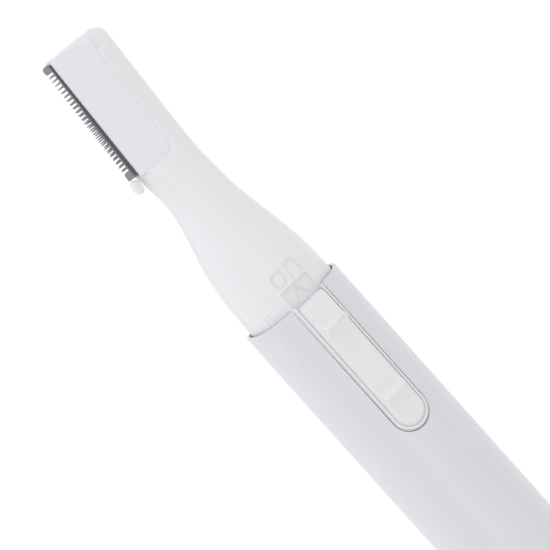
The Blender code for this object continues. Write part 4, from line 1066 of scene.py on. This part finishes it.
HOLLOWS = cavities()
POCKET = head_pocket()
build_sleeve()
build_tail_cap()
build_front_case(HOLLOWS, POCKET)
build_rear_case(HOLLOWS, POCKET)
build_slider()
build_panel()
build_blades()
build_carrier()
build_battery()
for used in TOOLS:
    bpy.data.objects.remove(used)

KEPT_SHAPES = {
    "brass": ("positive_contact", "negative_contact", "contact_bridge", "supply_contact")
    + ("motor_contact", "motor_terminal_left", "motor_terminal_right"),
    "pin_steel": ("shell_screw_left", "shell_screw_right", "motor_shaft", "lever_pivot_pin"),
    "spring_steel": ("battery_spring", "cutter_spring"),
    "motor_steel": ("motor_can",),
    "dark_acetal": ("motor_end_bell", "switch_base", "drive_lever", "cutter_follower"),
    "natural_acetal": ("switch_carrier", "eccentric_cam"),
    "ferrite": ("motor_magnet",),
    "lamination": ("motor_rotor",),
    "red_pvc": ("positive_lead", "motor_lead"),
    "black_pvc": ("negative_lead",),
}
for look, names in KEPT_SHAPES.items():
    for name in names:
        paint(NODES[name], look)

# ---------------- stage

FLOOR_Z = -BARREL_HALF - 0.02
FLOOR_GLOW, WORLD_GLOW = 0.86, 0.834
LIGHT_DISTANCE, LIGHT_SIZE = 0.9, 0.5  # metres
LIGHTS = (  # name, direction from the trimmer, power in watts, colour
    ("soft_key", (0.8, 0.9, 0.3), 1.4, (0.885, 0.80, 1.0)),
    ("tip_edge", (1.0, -0.1, 0.1), 0.6, (0.96, 0.95, 1.0)),
    ("soft_top", (0.1, 0.1, 1.0), 0.85, (0.97, 0.965, 1.0)),
    ("soft_side", (0.1, -1.0, 0.45), 0.25, (1.0, 1.0, 1.0)),
    ("warm_tail", (-1.0, 0.2, 0.6), 0.4, (0.97, 1.0, 0.7)),
)


def build_floor():
    """A pale, softly glowing sheet under the trimmer, as on a light table."""
    size, step = 900.0, 30

    def build(bm):
        grid = []
        for i in range(step + 1):
            row = []
            for k in range(step + 1):
                x, y = ((2 * v / step - 1) * size for v in (i, k))
                row.append(bm.verts.new(Vector((x + 70.0, y, FLOOR_Z)) * MM))
            grid.append(row)
        for i in range(step):
            for k in range(step):
                bm.faces.new((grid[i][k], grid[i + 1][k], grid[i + 1][k + 1], grid[i][k + 1]))

    floor = new_mesh("pale_floor", build)
    made = Nodes("pale_floor", 0.9, Emission_Strength=FLOOR_GLOW, Specular_IOR_Level=0.1)
    made.shader.inputs["Base Color"].default_value = (0.2, 0.2, 0.2, 1.0)
    made.shader.inputs["Emission Color"].default_value = (1.0, 1.0, 1.0, 1.0)
    floor.data.materials.append(made.material)


def build_light(name, direction, power, colour):
    """A soft square light aimed at the middle of the view."""
    lamp = bpy.data.lights.new(name, "AREA")
    lamp.shape, lamp.size = "SQUARE", LIGHT_SIZE
    lamp.energy, lamp.color = power, colour
    target = Vector((MOUTH_X + 10.0, 0.0, 0.0)) * MM
    away = Vector(direction).normalized()
    aim = away.to_track_quat("Z", "Y").to_matrix().to_4x4()
    new_object(name, lamp).matrix_world = Matrix.Translation(target + away * LIGHT_DISTANCE) @ aim


def build_camera():
    """A long lens above the trimmer's front, turned so that the head points up and left."""
    roll, tilt, swing = (math.radians(v) for v in (16.2, 8.3, 48.15))
    across = Vector((0.0, -math.cos(roll), math.sin(roll)))
    lifted = Vector((0.0, math.sin(roll), math.cos(roll)))
    along = math.cos(tilt) * Vector((1.0, 0.0, 0.0)) - math.sin(tilt) * lifted
    right = across * math.sin(swing) - along * math.cos(swing)
    up = across * math.cos(swing) + along * math.sin(swing)
    back = right.cross(up)
    centre = (Vector((MOUTH_X, 0.0, 0.0)) + across * 0.809 + along * 4.258) * MM
    view_width, lens, sensor = 77.9 * MM, 500.0, 36.0
    camera = bpy.data.cameras.new("camera")
    camera.lens, camera.sensor_width, camera.sensor_fit = lens, sensor, "HORIZONTAL"
    camera.clip_start, camera.clip_end = 0.01, 10.0
    obj = new_object("camera", camera)
    turn = Matrix((right, up, back)).transposed().to_4x4()
    obj.matrix_world = Matrix.Translation(centre + back * view_width * lens / sensor) @ turn
    bpy.context.scene.camera = obj


build_floor()
build_camera()
for light in LIGHTS:
    build_light(*light)

world = bpy.data.worlds.new("studio")
world.use_nodes = True
background = world.node_tree.nodes["Background"]
background.inputs["Color"].default_value = (1.0, 1.0, 1.0, 1.0)
background.inputs["Strength"].default_value = WORLD_GLOW
bpy.context.scene.world = world
bpy.context.scene.view_settings.view_transform = "Standard"
bpy.context.scene.view_settings.look = "None"
